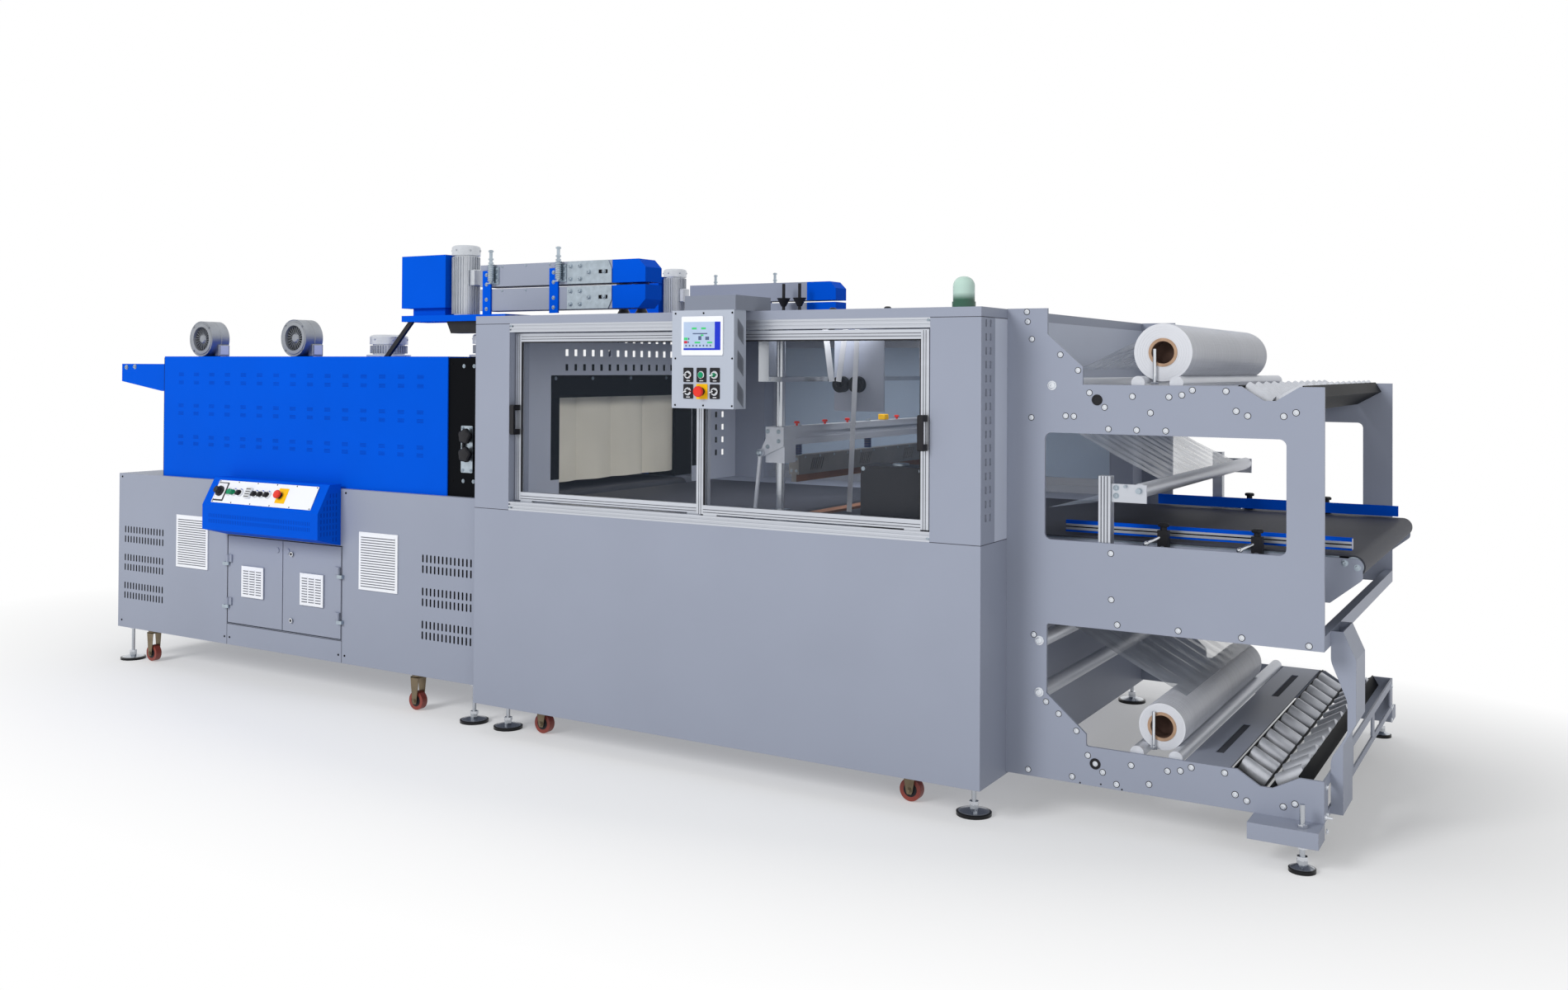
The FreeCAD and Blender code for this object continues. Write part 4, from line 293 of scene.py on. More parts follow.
GREY = material("grey_paint", tone(150, 156, 172), 0.45, mottle=0.02, Specular_IOR_Level=0.22)
# A lighter copy of the grey paint for the inner end walls: painted light for the dim inside of the cabinet
INNER = material("inner_grey_painted_light", tone(192, 198, 213), 0.45, mottle=0.02, Specular_IOR_Level=0.2)
INNER_METAL = material("inner_aluminium", tone(206, 210, 219), 0.4, 0.35, mottle=0.06, size=3.0, grain=60.0,
                       bump=0.1, stretch=(12, 0.3, 12), edge=0.6)
BLUE = material("blue_paint", tone(0, 84, 212), 0.5, mottle=0.03, Specular_IOR_Level=0.02)
BLACK = material("black_paint", tone(7, 9, 13), 0.5, mottle=0.15, Specular_IOR_Level=0.05)
WHITE = material("white_plate_paint", tone(236, 238, 243), 0.4, mottle=0.02, Specular_IOR_Level=0.2)
# Dark screws and lock cores, and painted shade in slots, grooves and blower throats
DARK_AND_SHADE = material("dark_parts_and_painted_shade", tone(14, 14, 17), 0.8, mottle=0.2, edge=0, Specular_IOR_Level=0.1)
# Dark panel seams, and painted shade in door-frame grooves, post grooves and panel louvres
SEAM_AND_SHADE = material("panel_seam", tone(78, 80, 88), 0.8, mottle=0.1, edge=0, Specular_IOR_Level=0.1)
# Painted shade for the slit under each grille louvre
LOUVRE_SHADE = material("painted_louvre_shade", tone(112, 114, 122), 0.8, mottle=0.1, edge=0, Specular_IOR_Level=0.1)
# Darker blue: painted shade in the vent slits of the blue covers
BLUE_SLOT_SHADE = material("painted_blue_slot_shade", tone(0, 64, 176), 0.7, mottle=0.1, edge=0, Specular_IOR_Level=0.05)
ALUMINIUM = material("anodised_aluminium", tone(200, 204, 212), 0.34, 0.75, mottle=0.05, size=2.0,
                     grain=60.0, bump=0.12, stretch=(0.3, 12, 12), edge=0.6)
CAST = material("cast_aluminium", tone(158, 162, 168), 0.45, 0.85, mottle=0.12, size=14.0, grain=420.0, bump=0.3)
SILVER = material("bright_cast_aluminium", tone(204, 208, 214), 0.36, 0.7, mottle=0.08, size=14.0, grain=420.0,
                  bump=0.2)
ZINC = material("zinc_plate", tone(172, 184, 194), 0.32, 0.9, mottle=0.12, size=45.0, grain=300.0, bump=0.08,
                edge=0.5)
CHROME = material("chrome", tone(214, 217, 222), 0.16, 1.0, mottle=0.04, size=20.0, bump=0.01, edge=0.4)
STEEL = material("roller_steel", tone(206, 209, 216), 0.45, 0.5, mottle=0.06, size=6.0, grain=90.0, bump=0.1,
                 stretch=(8, 0.6, 8), edge=0.4)
PLASTIC = material("black_plastic", tone(28, 28, 32), 0.45, mottle=0.2, size=30.0, grain=500.0, bump=0.1,
                   Specular_IOR_Level=0.3)
RUBBER = material("belt_rubber", tone(62, 64, 72), 0.6, mottle=0.12, size=5.0, grain=700.0, bump=0.25,
                  Specular_IOR_Level=0.2)
PANE = material("clear_acrylic", tone(96, 106, 120), 0.05, mottle=0.02, edge=0, bump=0.0, Alpha=0.05,
                Specular_IOR_Level=0.15)
FILM_WHITE = material("wound_white_film", tone(214, 216, 222), 0.34, mottle=0.07, size=6.0, grain=40.0, bump=0.2,
                      stretch=(0.3, 20, 0.3), edge=0)
FILM_CLEAR = material("clear_film", tone(206, 212, 222), 0.16, mottle=0.2, size=10.0, grain=60.0, bump=0.7,
                      edge=0, Alpha=0.6)
CARD = material("cardboard", tone(176, 146, 122), 0.85, mottle=0.14, size=40.0, grain=500.0, bump=0.3, edge=0,
                Specular_IOR_Level=0.1)
# A darker copy of the cardboard: painted shade inside the hollow roll cores
BORE_SHADE = material("painted_bore_shade", tone(92, 72, 64), 0.85, mottle=0.14, size=40.0, edge=0, Specular_IOR_Level=0.1)
CREAM = material("cream_silicone", tone(236, 231, 216), 0.6, mottle=0.05, size=5.0, grain=260.0, bump=0.15,
                 edge=0, Specular_IOR_Level=0.2)
SMOKED = material("smoked_acrylic", tone(172, 190, 212), 0.12, mottle=0.03, edge=0, bump=0.0, Alpha=0.84,
                  Specular_IOR_Level=0.3)
BRIGHT = material("bright_screws", tone(224, 228, 234), 0.28, 0.8, mottle=0.06, size=60.0, bump=0.02, edge=0.3)
FORK = material("yellow_passivated", tone(128, 114, 92), 0.42, 0.75, mottle=0.2, size=20.0)
RED_WHEEL = material("red_polyurethane", tone(138, 62, 52), 0.4, mottle=0.12, size=20.0)
RED = material("red_plastic", tone(222, 52, 40), 0.3, mottle=0.04, size=20.0, Specular_IOR_Level=0.3)
GREEN = material("green_plastic", tone(0, 138, 92), 0.3, mottle=0.06, size=20.0, Specular_IOR_Level=0.3)
YELLOW = material("yellow_plate", tone(246, 190, 20), 0.45, mottle=0.04, size=20.0, edge=0.4,
                  Specular_IOR_Level=0.2)
BROWN = material("jaw_edge_brown", tone(132, 92, 70), 0.6, mottle=0.12, size=16.0, grain=240.0, bump=0.2)
JAW_METAL = material("jaw_cover_metal", tone(134, 132, 130), 0.42, 0.6, mottle=0.12, size=9.0, grain=300.0,
                     bump=0.15, edge=0.6)
GUIDE = material("ground_guide_steel", tone(204, 208, 214), 0.24, 0.92, mottle=0.05, size=12.0, grain=120.0,
                 bump=0.05, edge=0.5)
SPRING = material("blue_spring_steel", tone(34, 58, 120), 0.4, 0.3, mottle=0.1, size=40.0, edge=0)
BELT_WHITE = material("white_belt", tone(228, 231, 238), 0.5, mottle=0.04, size=20.0, grain=300.0, bump=0.1, edge=0)


def layered(name, colour, other, split, rough, metal=0.0, alpha=1.0):
    """A surface whose colour changes with height: one colour below a level in millimetres."""
    made = bpy.data.materials.new(name)
    made.use_nodes = True
    tree = made.node_tree
    shader = tree.nodes["Principled BSDF"]
    place = tree.nodes.new("ShaderNodeTexCoord").outputs["Object"]
    axes = tree.nodes.new("ShaderNodeSeparateXYZ")
    link(tree, place, axes.inputs["Vector"])
    low, high, soft = split
    reach = tree.nodes.new("ShaderNodeMapRange")
    reach.inputs["From Min"].default_value = low / 1000
    reach.inputs["From Max"].default_value = high / 1000
    link(tree, axes.outputs["Z"], reach.inputs["Value"])
    ramp = tree.nodes.new("ShaderNodeValToRGB")
    ramp.color_ramp.elements[0].color = colour
    ramp.color_ramp.elements[1].color = other
    ramp.color_ramp.elements[0].position = 0.5 - soft / 2
    ramp.color_ramp.elements[1].position = 0.5 + soft / 2
    link(tree, reach.outputs["Result"], ramp.inputs["Fac"])
    link(tree, ramp.outputs["Color"], shader.inputs["Base Color"])
    shader.inputs["Roughness"].default_value = rough
    if metal:
        link(tree, ramp.outputs["Alpha"], shader.inputs["Metallic"])
    shader.inputs["Specular IOR Level"].default_value = 0.25
    shader.inputs["Alpha"].default_value = alpha
    return made


# Foot pads are black rubber up to their chrome stem; the lamp glass is dark green below and pale green on top
FEET = layered("pad_and_stem", tone(24, 24, 26)[:3] + (0.0,), tone(186, 190, 196), (10, 16, 0.2), 0.22, metal=1.0)
LENS = layered("lamp_glass", tone(6, 92, 66), tone(196, 226, 214), (1722, 1768, 0.5), 0.12, alpha=0.8)
PANEL = layered("panel_and_arm_paint", tone(176, 183, 196), tone(126, 132, 146), (1700, 1710, 0.2), 0.4)

PAINTS = {
    "cabinet_lower_cover tunnel_base cabinet_roof cabinet_columns left_base_door right_base_door "
    "front_side_plate back_side_plate curved_post foot_beams end_channels": GREY,
    "operator_panel": PANEL,
    "inner_end_walls": INNER,
    "tunnel_hood control_console unit_covers unit_bases exit_brackets guide_rails": BLUE,
    "left_guard_door right_guard_door rear_glazing_frame door_rails dancer_posts": ALUMINIUM,
    "infeed_side_plates unit_beams": GREY,
    "seal_beam": INNER_METAL,
    "seal_jaw": JAW_METAL,
    "seal_guides": GUIDE,
    "hood_fans unit_motors": CAST,
    "unit_plates base_door_hinges belt_beds": ZINC,
    "castor_forks": FORK,
    "film_rollers upper_track_rollers lower_track_rollers": STEEL,
    "left_door_handle right_door_handle guide_clamps seal_drive_box unit_supports": PLASTIC,
    "hood_end_frames track_channels": BLACK,
    "conveyor_belts": RUBBER,
    "left_door_pane right_door_pane": PANE,
    "rear_panes": SMOKED,
    "film_rolls": FILM_WHITE,
    "film_web": FILM_CLEAR,
    "seal_anvil": BROWN,
    "castor_wheels": RED_WHEEL,
    "levelling_feet": FEET,
    "signal_lamp": LENS,
    "base_vents console_controls panel_display panel_switches": WHITE,
    "entry_curtain": CREAM,
}
for names, paint in PAINTS.items():
    for node_name in names.split():
        mesh = nodes[node_name].data
        mesh.materials.clear()
        mesh.materials.append(paint)
assert sorted(name for names in PAINTS for name in names.split()) == sorted(nodes), "a node has no paint"


# Side plates of the unwinder
PLATE_FACE = 230
PLATE_BOLTS = [
    (70, 1694), (73, 1661), (88, 1602), (188, 1549), (249, 1497), (288, 1423), (339, 1376), (431, 1413),
    (490, 1361), (549, 1413), (590, 1420), (623, 1436), (727, 1434), (207, 1345), (235, 1344), (87, 1337),
    (352, 1305), (445, 1304), (539, 1304), (758, 1372), (793, 1358), (900, 1359), (936, 1371),
    (361, 898), (363, 747), (383, 667), (580, 668), (776, 666), (974, 662), (98, 606), (142, 386), (186, 351),
    (247, 303), (286, 228), (336, 180), (233, 150), (80, 150), (382, 148), (430, 217), (488, 165), (547, 217),
    (588, 224), (622, 240), (725, 239), (757, 177), (792, 163), (900, 163), (934, 177), (311, 204),
]


def side_plate_bolts():
    bolts, shadows = Shape(), Shape()
    for x, z in PLATE_BOLTS:
        bolts.bolt((x, PLATE_FACE, z), FRONT, 0.84)
        # A thin black disc a little wider than each washer: a painted shadow ring round the bolt
        shadows.lathe([(0, 10.8), (0.5, 10.8), (0.5, 0)], (x, PLATE_FACE, z), FRONT, 16)
    for x, z in ((118, 415), (118, 588), (160, 1446)):
        bolts.bolt((x, PLATE_FACE, z), FRONT, 1.5, 18)
    for shape in (bolts, shadows):
        shape.mirror()
    for y, z in ((269, 231), (274, 147), (243, 147), (269, 97)):
        bolts.bolt((1018, y, z), RIGHT, 0.86)
        bolts.bolt((1018, DEPTH - y, z), RIGHT, 0.86)
    bolts.tube([(1018, 243, 147), (1040, 243, 147)], 4, 10)
    bolts.make("side_plate_bolts", BRIGHT, "zinc_steel")
    # The black discs are painted shadow rings, drawn in the black plastic colour
    shadows.make("side_plate_bolt_shadows", PLASTIC, "black_plastic")
    rings = Shape()
    for x, z in ((311, 204), (314, 1400)):
        rings.lathe([(0, 18), (2.0, 18), (2.0, 13), (0.4, 13)], (x, PLATE_FACE, z), FRONT, 24)
    for x, z in ((260, 134), (400, 134), (330, 140)):
        rings.lathe([(0, 3), (0.5, 3), (0.5, 0)], (x, PLATE_FACE, z), FRONT, 10)
    rings.mirror()
    rings.make("side_plate_rings", PLASTIC, "black_plastic")


# Overhead units: fasteners, springs, finned motors
UNIT_FACE = 195


def unit_fasteners():
    bolts, slots, springs = Shape(), Shape(), Shape()
    for low in (1737, 1840):
        for x, rise in ((-1886, 20), (-1886, 73), (-1836, 20), (-1836, 73), (-1790, 46)):
            bolts.bolt((x, UNIT_FACE, low + rise), FRONT, 1.05)
        # Dark rounded slot: painted shade in the slot opening
        slots.plate(rounded(46, 14, 6.9), (-1739, UNIT_FACE, low + 40), RIGHT, UP, 0.5)
        bolts.bolt((-1712, UNIT_FACE, low + 47), FRONT, 1.0)
        for x in (-2260, -2130, -2000):
            bolts.bolt((x, 200, low + 84), FRONT, 0.5)
    for x in (-2308, -1938):
        springs.spring((x, 181, 1860), UP, 73, 13.2, 2.0, 8)
        for z in (1936, 1952, 1986):
            bolts.lathe([(0, 11), (7, 11), (7, 6)], (x, 181, z), UP, 6)
        for z in (1866, 1890, 1914):
            bolts.bolt((x + 22, UNIT_FACE, z), FRONT, 0.7)
    for x in (-2342, -1972):
        for z in (1745, 1785, 1850, 1890):
            bolts.bolt((x, 192, z), FRONT, 0.8)
    for shape in (bolts, springs, slots):
        shape.mirror()
    bolts.make("unit_bolts", ZINC, "zinc_steel")
    springs.make("unit_springs", ZINC, "zinc_steel")
    slots.make("unit_slot_painted_shade", DARK_AND_SHADE, "black_plastic")


def finned(shape, at, base, top, radius, fins):
    """An upright motor case: ribbed body under a rounded fan cap."""
    x, y = at
    shape.lathe([(0, radius * 0.84), (top - base - 44, radius * 0.84)], (x, y, base), UP, 36)
    for index in range(fins):
        turn = math.tau * index / fins
        u = Vector((math.cos(turn), math.sin(turn), 0))
        shape.plate([(0, 0), (radius * 0.18, 0), (radius * 0.18, top - base - 56), (0, top - base - 56)],
                    Vector((x, y, base + 6)) + u * radius * 0.8, u, UP, 3.0)
    shape.lathe([(0, radius * 0.9), (0, radius), (34, radius), (40, radius * 0.94), (44, radius * 0.8),
                 (44, radius * 0.34), (41, radius * 0.3), (41, 0)], (x, y, top - 44), UP, 36)
    for index in range(6):
        turn = math.tau * (index + 0.5) / 6
        u = Vector((math.cos(turn), math.sin(turn), 0))
        shape.bolt(Vector((x, y, top - 22)) + u * radius, u, 0.5, 8)


def motors():
    units = Shape()
    finned(units, (-2521, 255), 1722, 2027, 62, 30)
    units.block((-2480, -2446), (226, 284), (1850, 1920), 3)
    units.mirror()
    piece = units.make("unit_motor_cases", SILVER, "aluminium")
    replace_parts(piece, "unit_motors")
    fans, cases, dark, labels = Shape(), Shape(), Shape(), Shape()
    for x in (-3078, -2438):
        cases.lathe([(0, 100), (8, 100), (10, 98), (10, 80)], (x, 335, 1541), UP, 40)
        finned(cases, (x, 335), 1551, 1643, 86, 40)
    for x in (-4255, -3571):
        z = 1629
        fans.lathe([(0, 60), (0, 76), (3, 78), (3, 84), (0, 88), (48, 88), (50, 86), (54, 86), (56, 88),
                    (100, 88), (105, 82), (105, 0)], (x, 200, z), BACK, 56, ends=False)
        fans.lathe([(0, 60), (16, 56), (40, 52)], (x, 200, z), BACK, 40, ends=False)
        # A dark disc behind the inlet: painted shade in the blower's throat
        dark.lathe([(0, 54), (1, 54), (1, 0)], (x, 236, z), FRONT, 36)
        for index in range(22):
            turn = math.tau * index / 22
            u = Vector((math.cos(turn), 0, math.sin(turn)))
            fans.plate([(20, 0), (46, 0), (54, 22), (24, 22)], Vector((x, 232, z)), u, FRONT, 2.2)
        fans.lathe([(0, 24), (22, 24), (28, 18), (30, 8), (30, 0)], (x, 234, z), FRONT, 24, 12, 0.07)
        for index in range(4):
            turn = math.tau * (index + 0.5) / 4
            fans.bolt((x + 81 * math.cos(turn), 202, z + 81 * math.sin(turn)), FRONT, 0.5, 10)
        fans.block((x + 60, x + 91), (236, 300), (1543, 1600), 3)
        labels.block((x + 90.5, x + 92), (246, 292), (1552, 1596), 0.3)
    piece = fans.make("hood_blowers", CAST, "aluminium")
    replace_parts(piece, "hood_fans")
    piece = cases.make("hood_fan_motors", SILVER, "aluminium")
    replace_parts(piece, "hood_fans")
    dark.make("blower_throat_painted_shade", DARK_AND_SHADE, "black_plastic")
    labels.make("blower_covers", WHITE, "white_plate")


# Tunnel base, hood and cabinet
BASE_FACE = 90


def grille(frames, gaps, x, z, face, columns, count, proud):
    """A pressed vent grille: a rim, ribs between the columns, and painted shade in the slit under each louvre."""
    rim, rib = 14, 8
    (x0, x1), (z0, z1) = x, z
    frames.block(x, (face - proud, face), z, 1.0)
    inner = (x1 - x0 - 2 * rim - (columns - 1) * rib) / columns
    pitch = (z1 - z0 - 2 * rim) / count
    for column, row in product(range(columns), range(count)):
        left = x0 + rim + column * (inner + rib)
        low = z0 + rim + row * pitch
        frames.plate([(0, pitch * 0.42), (-2.6, pitch * 0.5), (0, pitch)], (left, face - proud, low), BACK, UP, inner)
        # Painted shade: a dark strip in the opening under the louvre
        gaps.block((left, left + inner), (face - proud - 0.4, face - proud), (low + 0.3, low + pitch * 0.36), 0.1)


def vents_and_seams():
    frames, gaps = Shape(), Shape()
    for x in ((-4273, -4033), (-2989, -2749)):
        grille(frames, gaps, x, (506, 762), BASE_FACE, 1, 20, 6)
    vents = frames.make("base_grilles", WHITE, "white_plate")
    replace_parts(vents, "base_vents")
    gaps.make("base_grille_painted_shade", LOUVRE_SHADE, "black_plastic")
    for body, x in (("left_leaf", (-3778, -3623)), ("right_leaf", (-3370, -3215))):
        frames, gaps = Shape(), Shape()
        grille(frames, gaps, x, (402, 549), 84, 3, 10, 3)
        frames.make(body + "_grille", WHITE, "white_plate", body)
        gaps.make(body + "_grille_painted_shade", LOUVRE_SHADE, "black_plastic", body)
    locks, cores = Shape(), Shape()
    for z in (323, 629):
        locks.lathe([(0, 11), (2.4, 11), (3, 10), (3, 6.5), (1.6, 6.5)], (-3431, 84, z), FRONT, 24, ends=False)
        cores.lathe([(0, 6.5), (1.8, 6.5), (1.8, 0)], (-3431, 84, z), FRONT, 16)
    locks.make("right_leaf_locks", CHROME, "zinc_steel", "right_leaf")
    cores.make("right_leaf_lock_cores", DARK_AND_SHADE, "black_plastic", "right_leaf")
    slots, screws, seams = Shape(), Shape(), Shape()
    # Rows of dark rounded slots: painted shade in the base's vent openings
    for left, count, tops in ((-4692, 14, (679, 630)), (-2605, 13, (689, 643))):
        for group, top, index in product(range(3), tops, range(count)):
            slots.plate(rounded(8.5, 34, 4.2, 3), (left + index * 23.2, BASE_FACE, top - 34 - 142 * group),
                        RIGHT, UP, 0.5)
    slots.make("base_slot_painted_shade", DARK_AND_SHADE, "black_plastic")
    for x in (-3890, -3100):
        seams.block((x - 1.5, x + 1.5), (BASE_FACE - 0.4, BASE_FACE + 1), (166, 690), 0.1)
    seams.block((-3890, -3100), (BASE_FACE - 0.4, BASE_FACE + 1), (262, 265), 0.1)
    seams.mirror()
    for z in (921, 1672):
        seams.block((-2220.4, -2037), (-0.4, 3), (z - 1.2, z + 1.2), 0.1)
        seams.block((-183, 0.4), (-0.4, 3), (z - 1.2, z + 1.2), 0.1)
        seams.block((-2, 0.4), (0, 230), (z - 1.2, z + 1.2), 0.1)
    seams.make("panel_seams", SEAM_AND_SHADE, "black_plastic")
    for x, z in ((-4717, 928), (-4712, 200), (-3907, 200), (-3870, 200), (-3120, 200), (-3080, 200),
                 (-3080, 928), (-2250, 200), (-2250, 928)):
        screws.lathe([(0, 5), (2, 4.4), (2, 0)], (x, BASE_FACE, z), FRONT, 12)
    for x, z in ((-2469, 1510), (-2463, 1010)):
        screws.lathe([(0, 6), (2, 5), (2, 0)], (x, 121, z), FRONT, 12)
    screws.mirror()
    screws.make("base_screws", DARK_AND_SHADE, "black_plastic")


def hood_details():
    marks = Shape()
    # Dark blue strips of painted shade in the hood's vent slits
    for column, top, slot in product(range(15), (1458, 1418, 1304, 1266, 1151, 1117), range(4)):
        marks.plate(rounded(40, 2.0, 0.9, 1), (-4308 + column * 117, 115, top - 4.6 * slot), RIGHT, UP, 0.3)
    marks.mirror()
    marks.make("hood_vent_painted_shade", BLUE_SLOT_SHADE, "signal_blue")
    plate, stars, bolts = Shape(), Shape(), Shape()
    plate.plate(rounded(66, 199, 5), (-2411, 121, 1048), RIGHT, UP, 4)
    for x, z in ((-2402, 1058), (-2354, 1058), (-2402, 1237), (-2354, 1237), (-2402, 1160)):
        bolts.bolt((x, 117, z), FRONT, 0.8)
    for z in (1204, 1126):
        stars.lathe([(0, 13), (12, 13), (12, 29), (16, 31), (28, 31), (34, 26), (36, 12), (36, 0)],
                    (-2367, 117, z), FRONT, 40, 5, 0.09)
    stars.block((-2396, -2386), (104, 117), (1100, 1216), 2)
    for x, z in ((-2400, 1500), (-2400, 1012), (-2342, 1500), (-2342, 1012)):
        bolts.bolt((x, 121, z), FRONT, 0.8)
    for shape in (plate, stars, bolts):
        shape.mirror()
    for y in (500, 760, 1048, 1336, 1596):
        bolts.bolt((-2216, y, 1448), RIGHT, 0.8)
    plate.make("latch_plates", ZINC, "zinc_steel")
    stars.make("latch_knobs", PLASTIC, "black_plastic")
    bolts.make("latch_bolts", ZINC, "zinc_steel")
    header = Shape()
    header.block((-2219.5, -2216), (470, 1626), (1362, 1462), 0.8)
    for y in ((470, 528), (1568, 1626)):
        header.block((-2219.5, -2216), y, (1000, 1362), 0.8)
    header.make("curtain_header", BLACK, "black_plastic")
    brackets = Shape()
    for y in (155, DEPTH - 155):
        way = FRONT if y < MID else BACK
        for x, z in ((-4790, 1485), (-4720, 1488)):
            brackets.bolt((x, y, z), way, 1.2)
    brackets.make("exit_bracket_bolts", ZINC, "zinc_steel")


def cabinet_details():
    """Gaskets of the sliding doors, their grooves as lines of painted shade, rail ends, column slots as painted shade
    and painted light, and roof fixings.
    """
    for body, x, z, face in (("left_slider", (-2032, -1095), (955, 1633), 32),
                             ("right_slider", (-1125, -188), (955, 1633), 4)):
        (x0, x1), (z0, z1) = x, z
        gasket, groove = Shape(), Shape()
        a, b, c, d = x0 + 30, x1 - 30, z0 + 33, z1 - 33
        deep = face + 6
        for span, rise in (((a, b), (c, c + 5)), ((a, b), (d - 5, d)), ((a, a + 5), (c + 5, d - 5)),
                           ((b - 5, b), (c + 5, d - 5))):
            gasket.block(span, (deep - 4.5, deep + 1.2), rise, 0.6)
        # Thin dark lines on the door frame: painted shade in the profile's grooves
        for x in (x0 + 10, x0 + 19, x1 - 22, x1 - 13):
            groove.block((x, x + 2.4), (face - 0.3, face + 0.5), (z0 + 4, z1 - 4), 0.1)
        for level in (z0 + 11, z0 + 21, z1 - 24, z1 - 14):
            groove.block((x0 + 30, x1 - 30), (face - 0.3, face + 0.5), (level, level + 2.4), 0.1)
        gasket.make(body + "_gasket", PLASTIC, "black_plastic", body)
        groove.make(body + "_grooves", SEAM_AND_SHADE, "black_plastic", body)
    ends, pads, dark = Shape(), Shape(), Shape()
    for z in (932, 1664):
        for x in (-2030, -190):
            ends.bolt((x, 2, z), FRONT, 0.6)
    # Two columns of slots on the column's end face: the front ones dark blocks of painted shade, the back ones white
    # pads of painted light for the bright backdrop seen through them
    for index in range(15):
        z = 996 + 46 * index
        dark.block((-9.6, -6), (37.2, 47.8), (z + 1.2, z + 22.8), 0.1)
        pads.block((-9.6, -3), (88.2, 98.8), (z + 1.2, z + 22.8), 0.1)
    ends.make("rail_screws", ZINC, "zinc_steel")
    pads.make("column_slot_painted_light", WHITE, "white_plate")
    dark.make("column_slot_painted_shade", DARK_AND_SHADE, "black_plastic")
    feet = Shape()
    feet.lathe([(0, 34), (4, 34), (6, 20), (6, 0)], (-640, 300, 1705), UP, 24)
    for x in (-1290, -640, -420):
        feet.lathe([(0, 14), (10, 13), (14, 8), (14, 0)], (x, 160, 1705), UP, 16)
    feet.make("roof_caps", PLASTIC, "black_plastic")


# Controls
def selector(rings, levers, lines, at, axis, aside, size=1.0):
    """A rotary selector: chrome ring, knob and pointer."""
    at, axis, aside = Vector(at), Vector(axis).normalized(), Vector(aside).normalized()
    rings.lathe([(0, 15 * size), (4 * size, 15 * size), (7 * size, 12.5 * size), (7 * size, 8.4 * size),
                 (2 * size, 8.4 * size)], at, axis, 28, ends=False)
    levers.lathe([(0, 8.4 * size), (6 * size, 8.4 * size), (8 * size, 7 * size), (8 * size, 0)], at, axis, 20)
    over = axis.cross(aside)
    levers.plate([(-8 * size, -3 * size), (12 * size, -3 * size), (12 * size, 3 * size), (-8 * size, 3 * size)],
                 at + axis * 5 * size, aside, over, 13 * size)
    lines.plate([(-4 * size, -1.6 * size), (12.2 * size, -1.6 * size), (12.2 * size, 1.6 * size),
                 (-4 * size, 1.6 * size)], at + axis * (18 * size), aside, over, 0.6)


def mushroom(red, black, at, axis):
    """An emergency stop: black collar and red mushroom head."""
    black.lathe([(0, 15), (8, 15), (10, 12), (16, 12), (16, 0)], at, axis, 24)
    red.lathe([(11, 11), (13, 17), (16, 19.4), (19, 20), (24, 19.6), (27, 17), (28, 11), (28, 0)], at, axis, 32)


